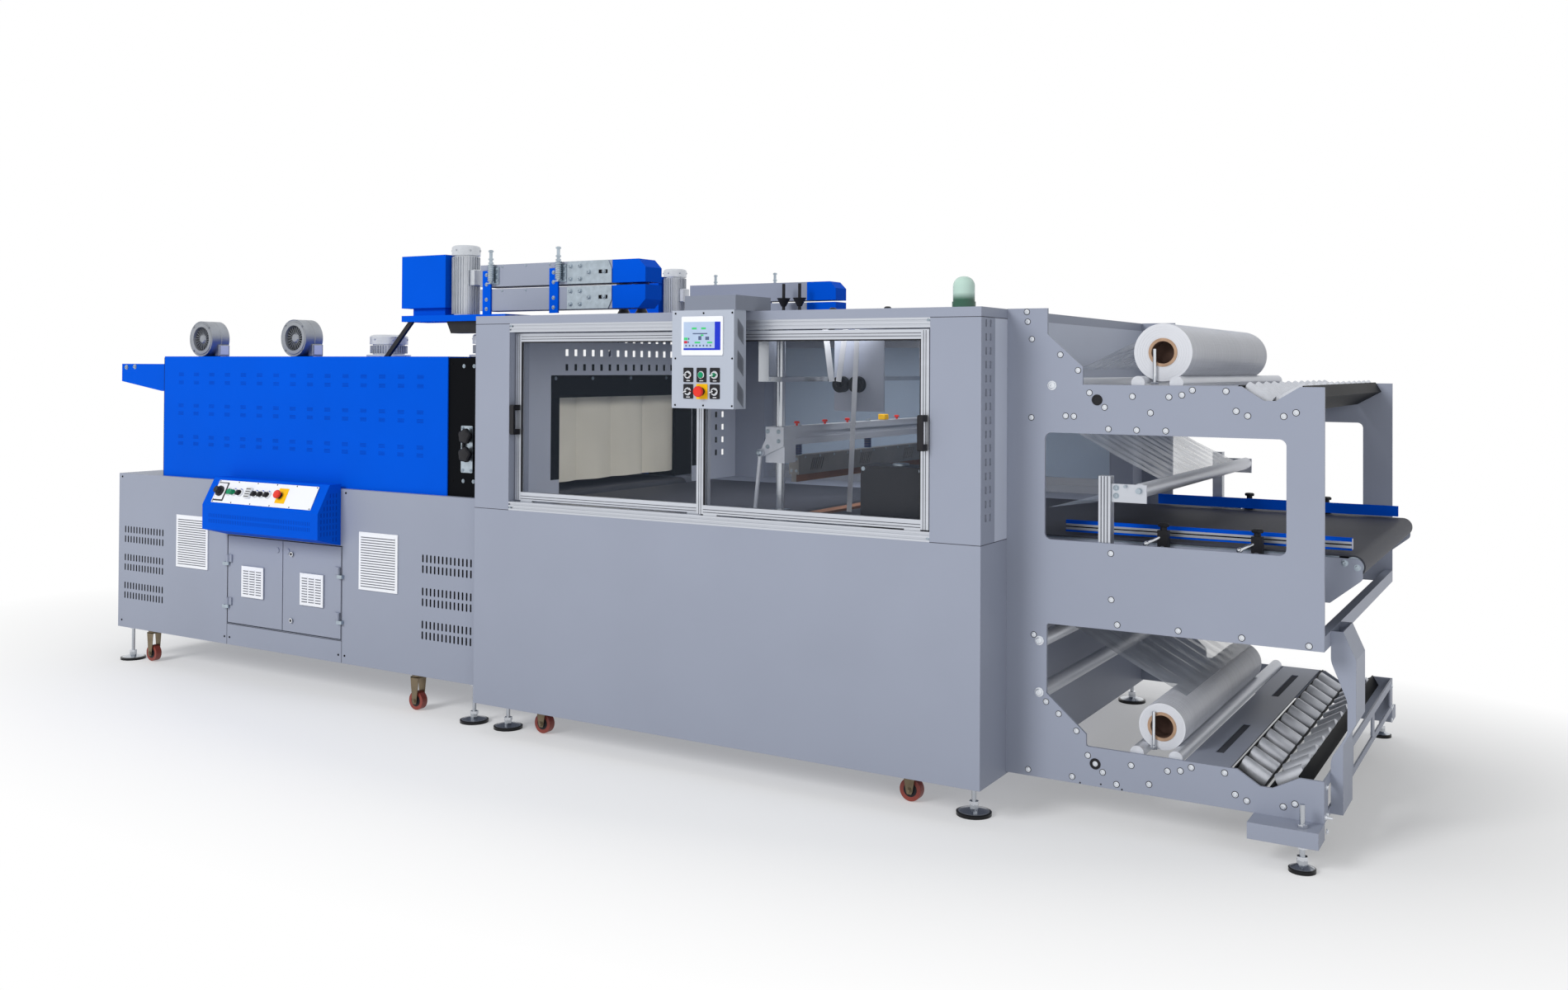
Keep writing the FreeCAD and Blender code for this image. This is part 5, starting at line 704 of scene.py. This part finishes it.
def operator_controls():
    face = -125
    white, black, chrome, red, green, yellow, lines = (Shape() for _ in range(7))
    white.plate(rounded(178, 140, 5), (-1103, face, 1543), RIGHT, UP, 4.5)
    display = white.make("panel_bezel", WHITE, "white_plate")
    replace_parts(display, "panel_display")
    areas = {"pale": (tone(176, 194, 220), [(0, 0, 158, 101)]),
             "blue": (tone(30, 52, 196), [(134, 0, 24, 101), (0, 0, 134, 7)]),
             "green": (tone(70, 200, 120), [(36, 74, 20, 7), (76, 74, 20, 7), (48, 24, 24, 6), (102, 24, 22, 6),
                                            (2, 36, 16, 9), (74, 50, 12, 6)]),
             "red": (tone(200, 48, 64), [(2, 24, 14, 9)]),
             "grey": (tone(84, 98, 130), [(8 + 15 * i, 13, 6, 6) for i in range(8)]
                      + [(40, 57, 62, 4), (64, 36, 13, 14), (94, 36, 16, 12), (20, 37, 5, 7), (18, 25, 5, 7)])}
    for index, (part, (colour, rects)) in enumerate(areas.items()):
        area = Shape()
        lift = 0.3 if index == 0 else 0.6
        for left, low, wide, tall in rects:
            area.plate([(0, 0), (wide, 0), (wide, tall), (0, tall)],
                       (-1093 + left, face - 4.5, 1562 + low), RIGHT, UP, lift)
        area.make("screen_" + part, material("screen_" + part, colour, 0.2, mottle=0.03, size=30.0, bump=0.0,
                                             edge=0, Specular_IOR_Level=0.2), "display")
    for z, kinds in ((1473, ("key", "button", "green")), (1414, ("turn", "stop", "turn"))):
        for column, kind in enumerate(kinds):
            x = -1074 + 57 * column
            at = Vector((x, face - 2, z))
            if kind == "stop":
                yellow.plate(rounded(48, 54, 3), (x - 22, face, z - 27), RIGHT, UP, 2)
                mushroom(red, black, at, FRONT)
                continue
            black.plate(rounded(42, 52, 3), (x - 21, face, z - 26), RIGHT, UP, 2)
            lines.plate(rounded(16, 2.6, 1), (x - 8, face - 2, z - 22), RIGHT, UP, 0.4)
            if kind == "button":
                chrome.lathe([(0, 14), (4, 14), (6, 12), (6, 10)], at, FRONT, 28)
                green.lathe([(0, 11), (7, 11), (8, 9), (8, 0)], at, FRONT, 24)
            else:
                aside = {"green": (-1, 0, -0.25), "turn": (-1, 0, -0.3), "key": (-1, 0, 0)}[kind]
                selector(chrome, green if kind == "green" else black, lines, at, FRONT, aside)
    switches = black.make("panel_keys", PLASTIC, "black_plastic")
    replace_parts(switches, "panel_switches")
    chrome.make("panel_rings", CHROME, "zinc_steel")
    red.make("panel_stop", RED, "red_plastic")
    green.make("panel_green_keys", GREEN, "green_lens")
    yellow.make("panel_stop_plate", YELLOW, "white_plate")
    lines.make("panel_pointers", WHITE, "white_plate")
    screws, louvres = Shape(), Shape()
    for x, z in product((-1132, -1010, -888), (1364, 1532, 1694)):
        if (x, z) != (-1010, 1532):
            screws.lathe([(0, 3.8), (1.8, 3.2), (1.8, 0)], (x, face, z), FRONT, 12)
    # Dark louvre lines on the panel side: painted shade in the louvre openings
    for group, line in product(range(3), range(9)):
        y, z = -66, 1674 - 112 * group - 7 * line
        louvres.plate([(0, 0), (-40, 34), (-40, 31.4), (0, -2.6)], (-877, y, z - 34), BACK, UP, -0.4)
    screws.make("panel_screws", DARK_AND_SHADE, "black_plastic")
    louvres.make("panel_louvre_painted_shade", SEAM_AND_SHADE, "black_plastic")


def console_controls():
    top, bottom = Vector((0, 23, 967)), Vector((0, -40, 843))
    up = (top - bottom).normalized()
    out = Vector(RIGHT).cross(up)
    thick = 2

    def place(fraction, rise, lift=0.0):
        return bottom + Vector((-3850 + 683 * fraction, 0, 0)) + up * (14 + rise) + out * lift

    plate, black, chrome, red, green, yellow, marks, lines = (Shape() for _ in range(8))
    plate.plate(rounded(683, 112, 2), place(0, 0), RIGHT, up, thick)
    piece = plate.make("console_plate", WHITE, "white_plate")
    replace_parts(piece, "console_controls")
    black.plate(rounded(72, 92, 3), place(0.008, 9, thick), RIGHT, up, 1.2)
    white = Shape()
    white.plate(rounded(62, 80, 3), place(0.012, 16, thick + 1), RIGHT, up, 1.6)
    white.make("main_switch_plate", WHITE, "white_plate")
    at = place(0.055, 56, thick + 2.5)
    black.lathe([(0, 25), (8, 25), (10, 22), (10, 0)], at, out, 28)
    black.lathe([(8, 17), (26, 16), (30, 13), (30, 0)], at, out, 24, 6, 0.12)
    for fraction, kind in ((0.148, "button"), (0.2, "green"), (0.262, "turn"), (0.352, "dial"),
                           (0.42, "turn"), (0.482, "turn"), (0.545, "turn"), (0.665, "stop")):
        at = place(fraction, 56, thick)
        if kind == "button":
            chrome.lathe([(0, 19), (5, 19), (7, 16), (7, 13)], at, out, 24)
            green.lathe([(0, 14), (9, 14), (11, 11), (11, 0)], at, out, 24)
        elif kind == "dial":
            chrome.plate(rounded(38, 52, 6), place(fraction - 0.028, 30, thick), RIGHT, up, 12)
            for step in range(4):
                marks.plate(rounded(30, 3, 1), place(fraction - 0.022, 36 + 12 * step, thick + 12), RIGHT, up, 0.6)
        elif kind == "stop":
            yellow.plate(rounded(64, 72, 3), place(fraction - 0.03, 20, thick), RIGHT, up, 1.2)
            mushroom(red, black, at + out, out)
        else:
            selector(chrome, green if kind == "green" else black, lines, at, out, (-0.7, 0, -0.7), 1.3)
    for index, rise in product(range(6), (5, 107)):
        marks.lathe([(0, 3.2), (1.4, 2.8), (1.4, 0)], place(0.012 + 0.195 * index, rise, thick), out, 10)
    black.make("console_knobs", PLASTIC, "black_plastic")
    chrome.make("console_rings", CHROME, "zinc_steel")
    red.make("console_stop", RED, "red_plastic")
    green.make("console_green_keys", GREEN, "green_lens")
    yellow.make("console_stop_plate", YELLOW, "white_plate")
    marks.make("console_screws", DARK_AND_SHADE, "black_plastic")
    lines.make("console_pointers", WHITE, "white_plate")
    # Dark blue strips of painted shade in the console's vent slots
    slots = Shape()
    for row, index in product(range(2), range(62)):
        slots.plate(rounded(3.2, 18, 1.5, 2), (-3858 + 11.3 * index, -40, 786 - 26 * row), RIGHT, UP, 0.3)
    for column, row in product(range(6), range(8)):
        y, z = -24 + 17 * column, 712 + 28 * row
        if z + 20 < 830 + 1.9 * (y + 40) and z > 740 - 0.35 * (y + 40):
            slots.plate(rounded(5, 20, 2.4, 2), (-3112, y, z), BACK, UP, 0.3)
    slots.make("console_slot_painted_shade", BLUE_SLOT_SHADE, "signal_blue")


# Entry curtain: four overlapping flaps of silicone cloth
def curtain():
    left, right, bottom, top = 533, 1563, 975, 1362
    count = 4
    width = (right - left) / count
    for flap in range(count):
        cloth = Shape()
        start = left + flap * width - 6
        wide = width + 12
        rows = []
        for step in range(17):
            hang = step / 16
            row = []
            for across in range(25):
                share = across / 24
                bulge = math.sin(math.pi * share) ** 0.7 * (20 + 12 * hang)
                ripple = 2.6 * hang * math.sin(math.tau * (2 * share + 0.3 * flap))
                row.append((-2340 + bulge + ripple, start + wide * share, top - (top - bottom) * hang))
            rows.append(row)
        cloth.cloth(rows)
        piece = cloth.make("curtain_flap_%d" % flap, CREAM, "silicone")
        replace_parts(piece, "entry_curtain")


# Film between the rolls, idlers and dancer
WEBS = [((60, 1011), (448, 1080)), ((60, 1331), (448, 1130)), ((129, 612), (542, 404)), ((160, 1501), (468, 1645))]


def film():
    for index, ((x0, z0), (x1, z1)) in enumerate(WEBS):
        cloth = Shape()
        rows = []
        steps = 30
        for step in range(steps + 1):
            share = step / steps
            slack = math.sin(math.pi * share)
            row = []
            for across in range(81):
                y = 488 + 1120 * across / 80
                crease = slack * (2.0 * math.sin(y / 15 + 4 * share + index) + 1.3 * math.sin(y / 6.1 + 9 * share)
                                  + 1.2 * math.sin(y / 40 - 7 * share))
                row.append((x0 + (x1 - x0) * share, y, z0 + (z1 - z0) * share - 3 * slack + crease))
            rows.append(row)
        cloth.cloth(rows)
        piece = cloth.make("film_strip_%d" % index, FILM_CLEAR, "clear_film", angle=80)
        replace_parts(piece, "film_web")


def roll_ends():
    cores, bores, pins, ends = Shape(), Shape(), Shape(), Shape()
    for radius, z in ((95, 1557.5), (76, 335.4)):
        for y, way in ((310, -1), (1490, 1)):
            cores.lathe([(-60, 37.2), (2.2, 37.2), (2.2, 47), (0, 47)], (508, y, z), (0, way, 0), 40, ends=False)
            # The bore's inside wall and a disc deep in the core are dark: painted shade inside the hollow core
            bores.lathe([(-60, 37), (-3, 37), (-3, 36.2), (-60, 36.2)], (508, y, z), (0, way, 0), 40, ends=False)
            bores.lathe([(-60, 37), (-59, 37), (-59, 0)], (508, y, z), (0, way, 0), 40, ends=False)
            for ring in range(5):
                r = 52 + (radius - 55) * ring / 5
                ends.tube([(508 + r * math.cos(math.tau * i / 48), y + way * 0.3, z + r * math.sin(math.tau * i / 48))
                           for i in range(48)], 0.6, 4, closed=True)
    for z in (384, 1569):
        low = 262 if z < 1000 else 1452
        pins.tube([(484, 300, low), (484, 300, z - 4), (484, 300, z)], 6, 14)
        pins.lathe([(0, 13), (8, 13), (8, 6)], (484, 300, low), UP, 6)
    cores.make("roll_cores", CARD, "clear_film")
    bores.make("roll_bore_painted_shade", BORE_SHADE, "clear_film")
    ends.make("roll_layers", FILM_WHITE, "clear_film")
    pins.make("roll_pins", CHROME, "zinc_steel")
    bands = Shape()
    for y in range(322, 1480, 9):
        r = 95.0 + 0.25
        bands.tube([(508 + r * math.cos(math.tau * i / 56), y, 1557.5 + r * math.sin(math.tau * i / 56))
                    for i in range(56)], 0.3, 3, closed=True)
    for y in range(322, 1480, 9):
        bands.tube([(508 + 76.2 * math.cos(math.tau * i / 48), y, 335.4 + 76.2 * math.sin(math.tau * i / 48))
                    for i in range(48)], 0.5, 3, closed=True)
    bands.make("roll_windings", FILM_WHITE, "clear_film")


# V tracks, guide rails and dancer posts
def track_rollers():
    for name, middle, z in (("upper_track_rollers", 859.5, 1417.7), ("lower_track_rollers", 849.5, 225.7)):
        steel, hubs = Shape(), Shape()
        for side, index in product((-1, 1), range(12)):
            axis = Vector((side * math.cos(math.radians(30)), 0, math.sin(math.radians(30))))
            at = Vector((middle + side * 56.7, 344 + 128 * index, z)) - axis * 48
            steel.lathe([(0.5, 12), (0.5, 24), (2, 26.4), (4, 27), (92, 27), (94, 26.4), (95.5, 24), (95.5, 12)],
                        at, axis, 32, ends=False)
            hubs.lathe([(1, 12), (-0.5, 9), (-0.5, 0)], at, axis, 16)
            hubs.lathe([(95, 12), (96.5, 9), (96.5, 0)], at, axis, 16)
        piece = steel.make(name.replace("track", "turned"), STEEL, "zinc_steel")
        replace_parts(piece, name)
        hubs.make(name.replace("track_rollers", "roller_hubs"), PLASTIC, "black_plastic")


def guides():
    metal, lines, knobs, levers = (Shape() for _ in range(4))
    for y, way in ((458, -1), (474, 1)):
        for low, high in ((940, 949), (953, 961)):
            metal.block((131.5, 1062.5), (min(y, y + 1.6 * way), max(y, y + 1.6 * way)), (low, high), 0.5)
        # A dark strip between the two profile lips: painted shade in the groove
        lines.block((131.5, 1062.5), (min(y, y + 0.5 * way), max(y, y + 0.5 * way)), (949, 953), 0.1)
    metal.block((1063, 1064.5), (459, 473), (936, 970), 0.4)
    for x in (474, 774):
        for side in (1, -1):
            y = 386 if side == 1 else DEPTH - 386
            knobs.lathe([(0, 17), (3, 19), (9, 19), (12, 14), (12, 0)], (x + 17, y, 979), UP, 24, 6, 0.08)
            levers.tube([(x + 17, y, 950), (x - 4, y - 20 * side, 938), (x - 26, y - 34 * side, 926)], 5, 10)
            levers.lathe([(0, 8), (10, 9), (16, 6), (16, 0)], (x - 26, y - 34 * side, 926), (-1, -1.2 * side, -0.6), 16)
            levers.bolt((x + 17, y - 15 * side, 905), (0, -side, 0), 1.1)
    metal.make("guide_profiles", ALUMINIUM, "aluminium")
    lines.make("guide_groove_painted_shade", DARK_AND_SHADE, "black_plastic")
    knobs.make("clamp_knobs", PLASTIC, "black_plastic")
    levers.make("clamp_levers", CHROME, "zinc_steel")
    trays = Shape()
    trays.block((656, 690), (386, 814), (250, 252.4), 0.2)
    trays.mirror()
    trays.make("deck_slot_trays", SEAM_AND_SHADE, "black_plastic")
    grooves, plates = Shape(), Shape()
    # Dark lines of painted shade in the post's T-slot grooves
    for x in (324, 334.5, 345):
        grooves.block((x - 0.5, x + 2.5), (239.4, 241), (773, 1149), 0.1)
    for y in (250, 268):
        grooves.block((355.4, 356.4), (y - 1.5, y + 1.5), (773, 1149), 0.1)
    for x, z in ((372, 1086), (372, 1112), (448, 1105)):
        plates.bolt((x, 250, z), FRONT, 1.0)
    plates.tube([(448, 236, 1105), (448, 262, 1105)], 9, 16)
    plates.tube([(404, 238, 1118), (404, 262, 1118)], 5, 12)
    for shape in (grooves, plates):
        shape.mirror()
    grooves.make("post_groove_painted_shade", SEAM_AND_SHADE, "black_plastic")
    plates.make("dancer_bolts", ZINC, "zinc_steel")
    infeed = Shape()
    for x, z in ((1050, 900), (1087, 888), (980, 800)):
        infeed.bolt((x, 402, z), FRONT, 1.0)
    infeed.mirror()
    infeed.make("infeed_bolts", ZINC, "zinc_steel")


# Sealing head: knobs, sprung pins, belts and sensor
def sealing():
    red, springs, bolts, black, brown, slots = (Shape() for _ in range(6))
    for y in (441, 667, 861, 1331, 1600):
        red.lathe([(0, 5), (8, 5), (9, 11), (16, 11), (18, 8), (18, 0)], (-950, y, 1275), UP, 20)
    for y in (450, 1048, 1646):
        springs.spring((-950, y, 1160), UP, 42, 14.5, 2.4, 6)
        bolts.lathe([(0, 12), (9, 12), (9, 8)], (-950, y, 1275), UP, 6)
        bolts.lathe([(0, 17), (3, 17), (3, 13)], (-950, y, 1159), UP, 20)
    brown.block((-962, -938), (420.5, 1675.5), (1056.8, 1086), 1.5)
    for y in (420, 1676):
        way = FRONT if y < MID else BACK
        for x, z in ((-961, 1146), (-939, 1146), (-961, 1100), (-939, 1100)):
            bolts.bolt((x, y, z), way, 0.55)
    for y in range(470, 1660, 118):
        bolts.bolt((-928, y, 1152), RIGHT, 0.5)
        bolts.bolt((-972, y, 1152), LEFT, 0.5)
    for x, z in ((-978, 1258), (-930, 1258), (-930, 1222), (-978, 1200)):
        bolts.bolt((x, 268, z), FRONT, 0.85)
    bolts.lathe([(0, 12), (8, 12), (12, 7), (12, 0)], (-1004, 252, 1176), FRONT, 20)
    # Leaning dark slots on the jaw cover: painted shade in the openings
    for cluster, index in product(range(3), range(6)):
        for x, lift in ((-931, 0.4), (-969, -0.4)):
            slots.plate([(0, 0), (7, 0), (29, 46), (22, 46)], (x, 510 + 420 * cluster + 17 * index, 1099),
                        BACK, UP, lift)
    black.block((-968, -932), (1180, 1216), (1276, 1300), 3)
    red.make("seal_head_knobs", RED, "red_plastic", "seal_head")
    springs.make("seal_head_springs", SPRING, "signal_blue", "seal_head")
    bolts.make("seal_head_bolts", ZINC, "zinc_steel", "seal_head")
    black.make("seal_head_sensor", YELLOW, "white_plate", "seal_head")
    brown.make("seal_jaw_edge", BROWN, "red_plastic", "seal_head")
    slots.make("seal_jaw_slot_painted_shade", DARK_AND_SHADE, "black_plastic", "seal_head")
    belts, hubs, drive = Shape(), Shape(), Shape()
    for (x0, z0), (x1, z1), wide in (((-950, 1672), (-917, 1446), 26), ((-852, 1672), (-886, 1446), 24),
                                     ((-801, 1672), (-835, 926), 22)):
        run = Vector((x1 - x0, 0, z1 - z0)).normalized()
        side = run.cross(Vector(BACK))
        belts.plate([(0, -wide / 2), (math.dist((x0, z0), (x1, z1)), -wide / 2),
                     (math.dist((x0, z0), (x1, z1)), wide / 2), (0, wide / 2)],
                    (x0, 664, z0), run, side, 2)
    for x in (-886, -814):
        hubs.lathe([(0, 33.4), (3, 33.4), (3, 14), (6, 13), (6, 6), (9, 6), (9, 0)], (x, 674, 1435), FRONT, 32)
    hubs.bolt((-886, 666, 1435), FRONT, 1.4, 18)
    for x, z in ((-470, 1150), (-250, 1150), (-470, 932), (-250, 932)):
        drive.bolt((x, 75, z), FRONT, 0.7)
    drive.lathe([(0, 30), (6, 30), (8, 26), (8, 0)], (-360, 150, 1161), UP, 28)
    belts.make("cabinet_belts", BELT_WHITE, "silicone")
    hubs.make("pulley_hubs", PLASTIC, "black_plastic")
    drive.make("drive_screws", ZINC, "zinc_steel")


# Feet and castors
def castors():
    """Swivel castors: plate, bearing race and a two-cheeked fork down to the axle."""
    forks = Shape()
    for x, top in ((-4533, 165), (-2683, 165), (-1967, 122), (-313, 122)):
        forks.block((x - 46, x + 46), (110, 190), (top - 4, top), 0.8)
        forks.lathe([(0, 30), (6, 30), (9, 27), (14, 27), (16, 22), (16, 0)], (x, 150, top - 4), DOWN, 28)
        forks.block((x - 24, x + 24), (126, 174), (top - 24, top - 19), 1.2)
        for y in (126, 171):
            forks.plate([(-24, top - 62), (24, top - 62), (12, -6), (8, -14), (-8, -14), (-12, -6)][::-1],
                        (x, y, 42), RIGHT, UP, -3)
        for way, y in ((-1, 126), (1, 174)):
            forks.lathe([(0, 10), (3, 10), (3, 7), (7, 6), (7, 0)], (x, y, 42), (0, way, 0), 6)
    forks.mirror()
    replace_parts(forks.make("castor_swivels", FORK, "zinc_steel"), "castor_forks")


def running_gear():
    hubs, nuts = Shape(), Shape()
    for x in (-4533, -2683, -1967, -313):
        for y in (150, DEPTH - 150):
            for way in (-1, 1):
                hubs.lathe([(15, 25), (15.6, 25), (15.6, 12), (17, 10), (17, 0)], (x, y, 42), (0, way, 0), 24)
    for x, y, top in ((-4673, 130, 165), (-2335, 130, 165), (-2146, 130, 122), (-74, 130, 122), (967, 163, 80)):
        for far in (y, DEPTH - y):
            nuts.lathe([(0, 15), (10, 15), (10, 8)], (x, far, top - 12), UP, 6)
            nuts.lathe([(0, 17), (12, 17), (12, 8)], (x, far, 34), UP, 6)
            if x > 0:
                nuts.lathe([(0, 15), (10, 15), (10, 8)], (x, far, 131), UP, 6)
    hubs.make("castor_hubs", PLASTIC, "black_plastic")
    nuts.make("gear_nuts", CHROME, "zinc_steel")


for dress in (side_plate_bolts, unit_fasteners, motors, vents_and_seams, hood_details, cabinet_details,
              operator_controls, console_controls, curtain, film, roll_ends, track_rollers, guides, sealing,
              castors, running_gear):
    dress()


# Floor, light and camera
def stage():
    floor = bpy.data.meshes.new("floor")
    ring = [(11 * math.cos(math.tau * i / 96), 11 * math.sin(math.tau * i / 96), 0.0) for i in range(96)]
    floor.from_pydata(ring, [], [list(range(96))])
    piece = bpy.data.objects.new("floor", floor)
    bpy.context.scene.collection.objects.link(piece)
    made = bpy.data.materials.new("studio_floor")
    made.use_nodes = True
    tree = made.node_tree
    shader = tree.nodes["Principled BSDF"]
    shader.inputs["Base Color"].default_value = (0.96, 0.96, 0.96, 1)
    shader.inputs["Roughness"].default_value = 0.8
    shader.inputs["Specular IOR Level"].default_value = 0.1
    bounce = tree.nodes.new("ShaderNodeBsdfDiffuse")
    bounce.inputs["Color"].default_value = (0.32, 0.33, 0.35, 1)
    rays = tree.nodes.new("ShaderNodeLightPath")
    seen = tree.nodes.new("ShaderNodeMixShader")
    link(tree, rays.outputs["Is Diffuse Ray"], seen.inputs["Fac"])
    link(tree, shader.outputs["BSDF"], seen.inputs[1])
    link(tree, bounce.outputs["BSDF"], seen.inputs[2])
    place = tree.nodes.new("ShaderNodeTexCoord").outputs["Object"]
    oval = tree.nodes.new("ShaderNodeVectorMath")
    oval.operation = "MULTIPLY"
    oval.inputs[1].default_value = (0.75, 1.5, 1)
    link(tree, place, oval.inputs[0])
    length = tree.nodes.new("ShaderNodeVectorMath")
    length.operation = "LENGTH"
    link(tree, oval.outputs["Vector"], length.inputs[0])
    fade = tree.nodes.new("ShaderNodeMapRange")
    fade.inputs["From Min"].default_value = 2.3
    fade.inputs["From Max"].default_value = 3.8
    fade.inputs["To Min"].default_value = 0.28
    link(tree, length.outputs["Value"], fade.inputs["Value"])
    white = tree.nodes.new("ShaderNodeEmission")
    white.inputs["Color"].default_value = (1, 1, 1, 1)
    mixed = tree.nodes.new("ShaderNodeMixShader")
    link(tree, fade.outputs["Result"], mixed.inputs["Fac"])
    link(tree, seen.outputs["Shader"], mixed.inputs[1])
    link(tree, white.outputs["Emission"], mixed.inputs[2])
    link(tree, mixed.outputs["Shader"], tree.nodes["Material Output"].inputs["Surface"])
    floor.materials.append(made)

    world = bpy.data.worlds.new("studio")
    bpy.context.scene.world = world
    world.use_nodes = True
    tree = world.node_tree
    ambient = tree.nodes["Background"]
    ambient.inputs["Color"].default_value = (0.96, 0.98, 1.0, 1)
    ambient.inputs["Strength"].default_value = 0.38
    backdrop = tree.nodes.new("ShaderNodeBackground")
    backdrop.inputs["Color"].default_value = (1, 1, 1, 1)
    rays = tree.nodes.new("ShaderNodeLightPath")
    seen = rays.outputs["Is Camera Ray"]
    for kind in ("Is Glossy Ray", "Is Transmission Ray"):
        larger = tree.nodes.new("ShaderNodeMath")
        larger.operation = "MAXIMUM"
        link(tree, seen, larger.inputs[0])
        link(tree, rays.outputs[kind], larger.inputs[1])
        seen = larger.outputs["Value"]
    mixed = tree.nodes.new("ShaderNodeMixShader")
    link(tree, seen, mixed.inputs["Fac"])
    link(tree, ambient.outputs["Background"], mixed.inputs[1])
    link(tree, backdrop.outputs["Background"], mixed.inputs[2])
    link(tree, mixed.outputs["Shader"], tree.nodes["World Output"].inputs["Surface"])

    for name, place, target, size, watts in (("key", (-3.6, -13.6, 8.2), (0.0, -0.5, 0.9), 6.0, 1250),
                                             ("top", (-0.5, 0.8, 6.5), (0, 0, 0), 6.0, 110),
                                             ("fill", (7.5, -7.5, 3.0), (0.0, 0, 1.1), 4.0, 130),
                                             ("inside", (0.75, 0.1, 1.655), (0.75, 0.1, 0), 1.1, 12.0)):
        lamp = bpy.data.lights.new(name, "AREA")
        lamp.shape = "DISK"
        lamp.size = size
        lamp.energy = watts
        holder = bpy.data.objects.new(name, lamp)
        holder.visible_camera = holder.visible_glossy = holder.visible_transmission = False
        holder.location = place
        holder.rotation_euler = (Vector(target) - Vector(place)).to_track_quat("-Z", "Y").to_euler()
        bpy.context.scene.collection.objects.link(holder)


def camera():
    yaw, pitch, roll = (math.radians(angle) for angle in (30.96, 0.62, 0.31))
    ahead = Vector((-math.sin(yaw) * math.cos(pitch), math.cos(yaw) * math.cos(pitch), math.sin(pitch)))
    right = Vector((math.cos(yaw), math.sin(yaw), 0))
    up = right.cross(ahead)
    aside = right * math.cos(roll) + up * math.sin(roll)
    above = -right * math.sin(roll) + up * math.cos(roll)
    turned = Matrix((aside, above, -ahead)).transposed().to_4x4()
    lens = bpy.data.cameras.new("photo_camera")
    lens.sensor_width = 36.0
    lens.lens = 36.0 * 1652 / 1900
    lens.shift_x = (950 - 939) / 1900
    lens.shift_y = (428 - 600) / 1900
    lens.clip_end = 100.0
    holder = bpy.data.objects.new("photo_camera", lens)
    holder.matrix_world = Matrix.Translation((3.5745, -5.1405, 1.5)) @ turned
    bpy.context.scene.collection.objects.link(holder)
    bpy.context.scene.camera = holder


stage()
camera()
bpy.context.scene.view_settings.view_transform = "Standard"
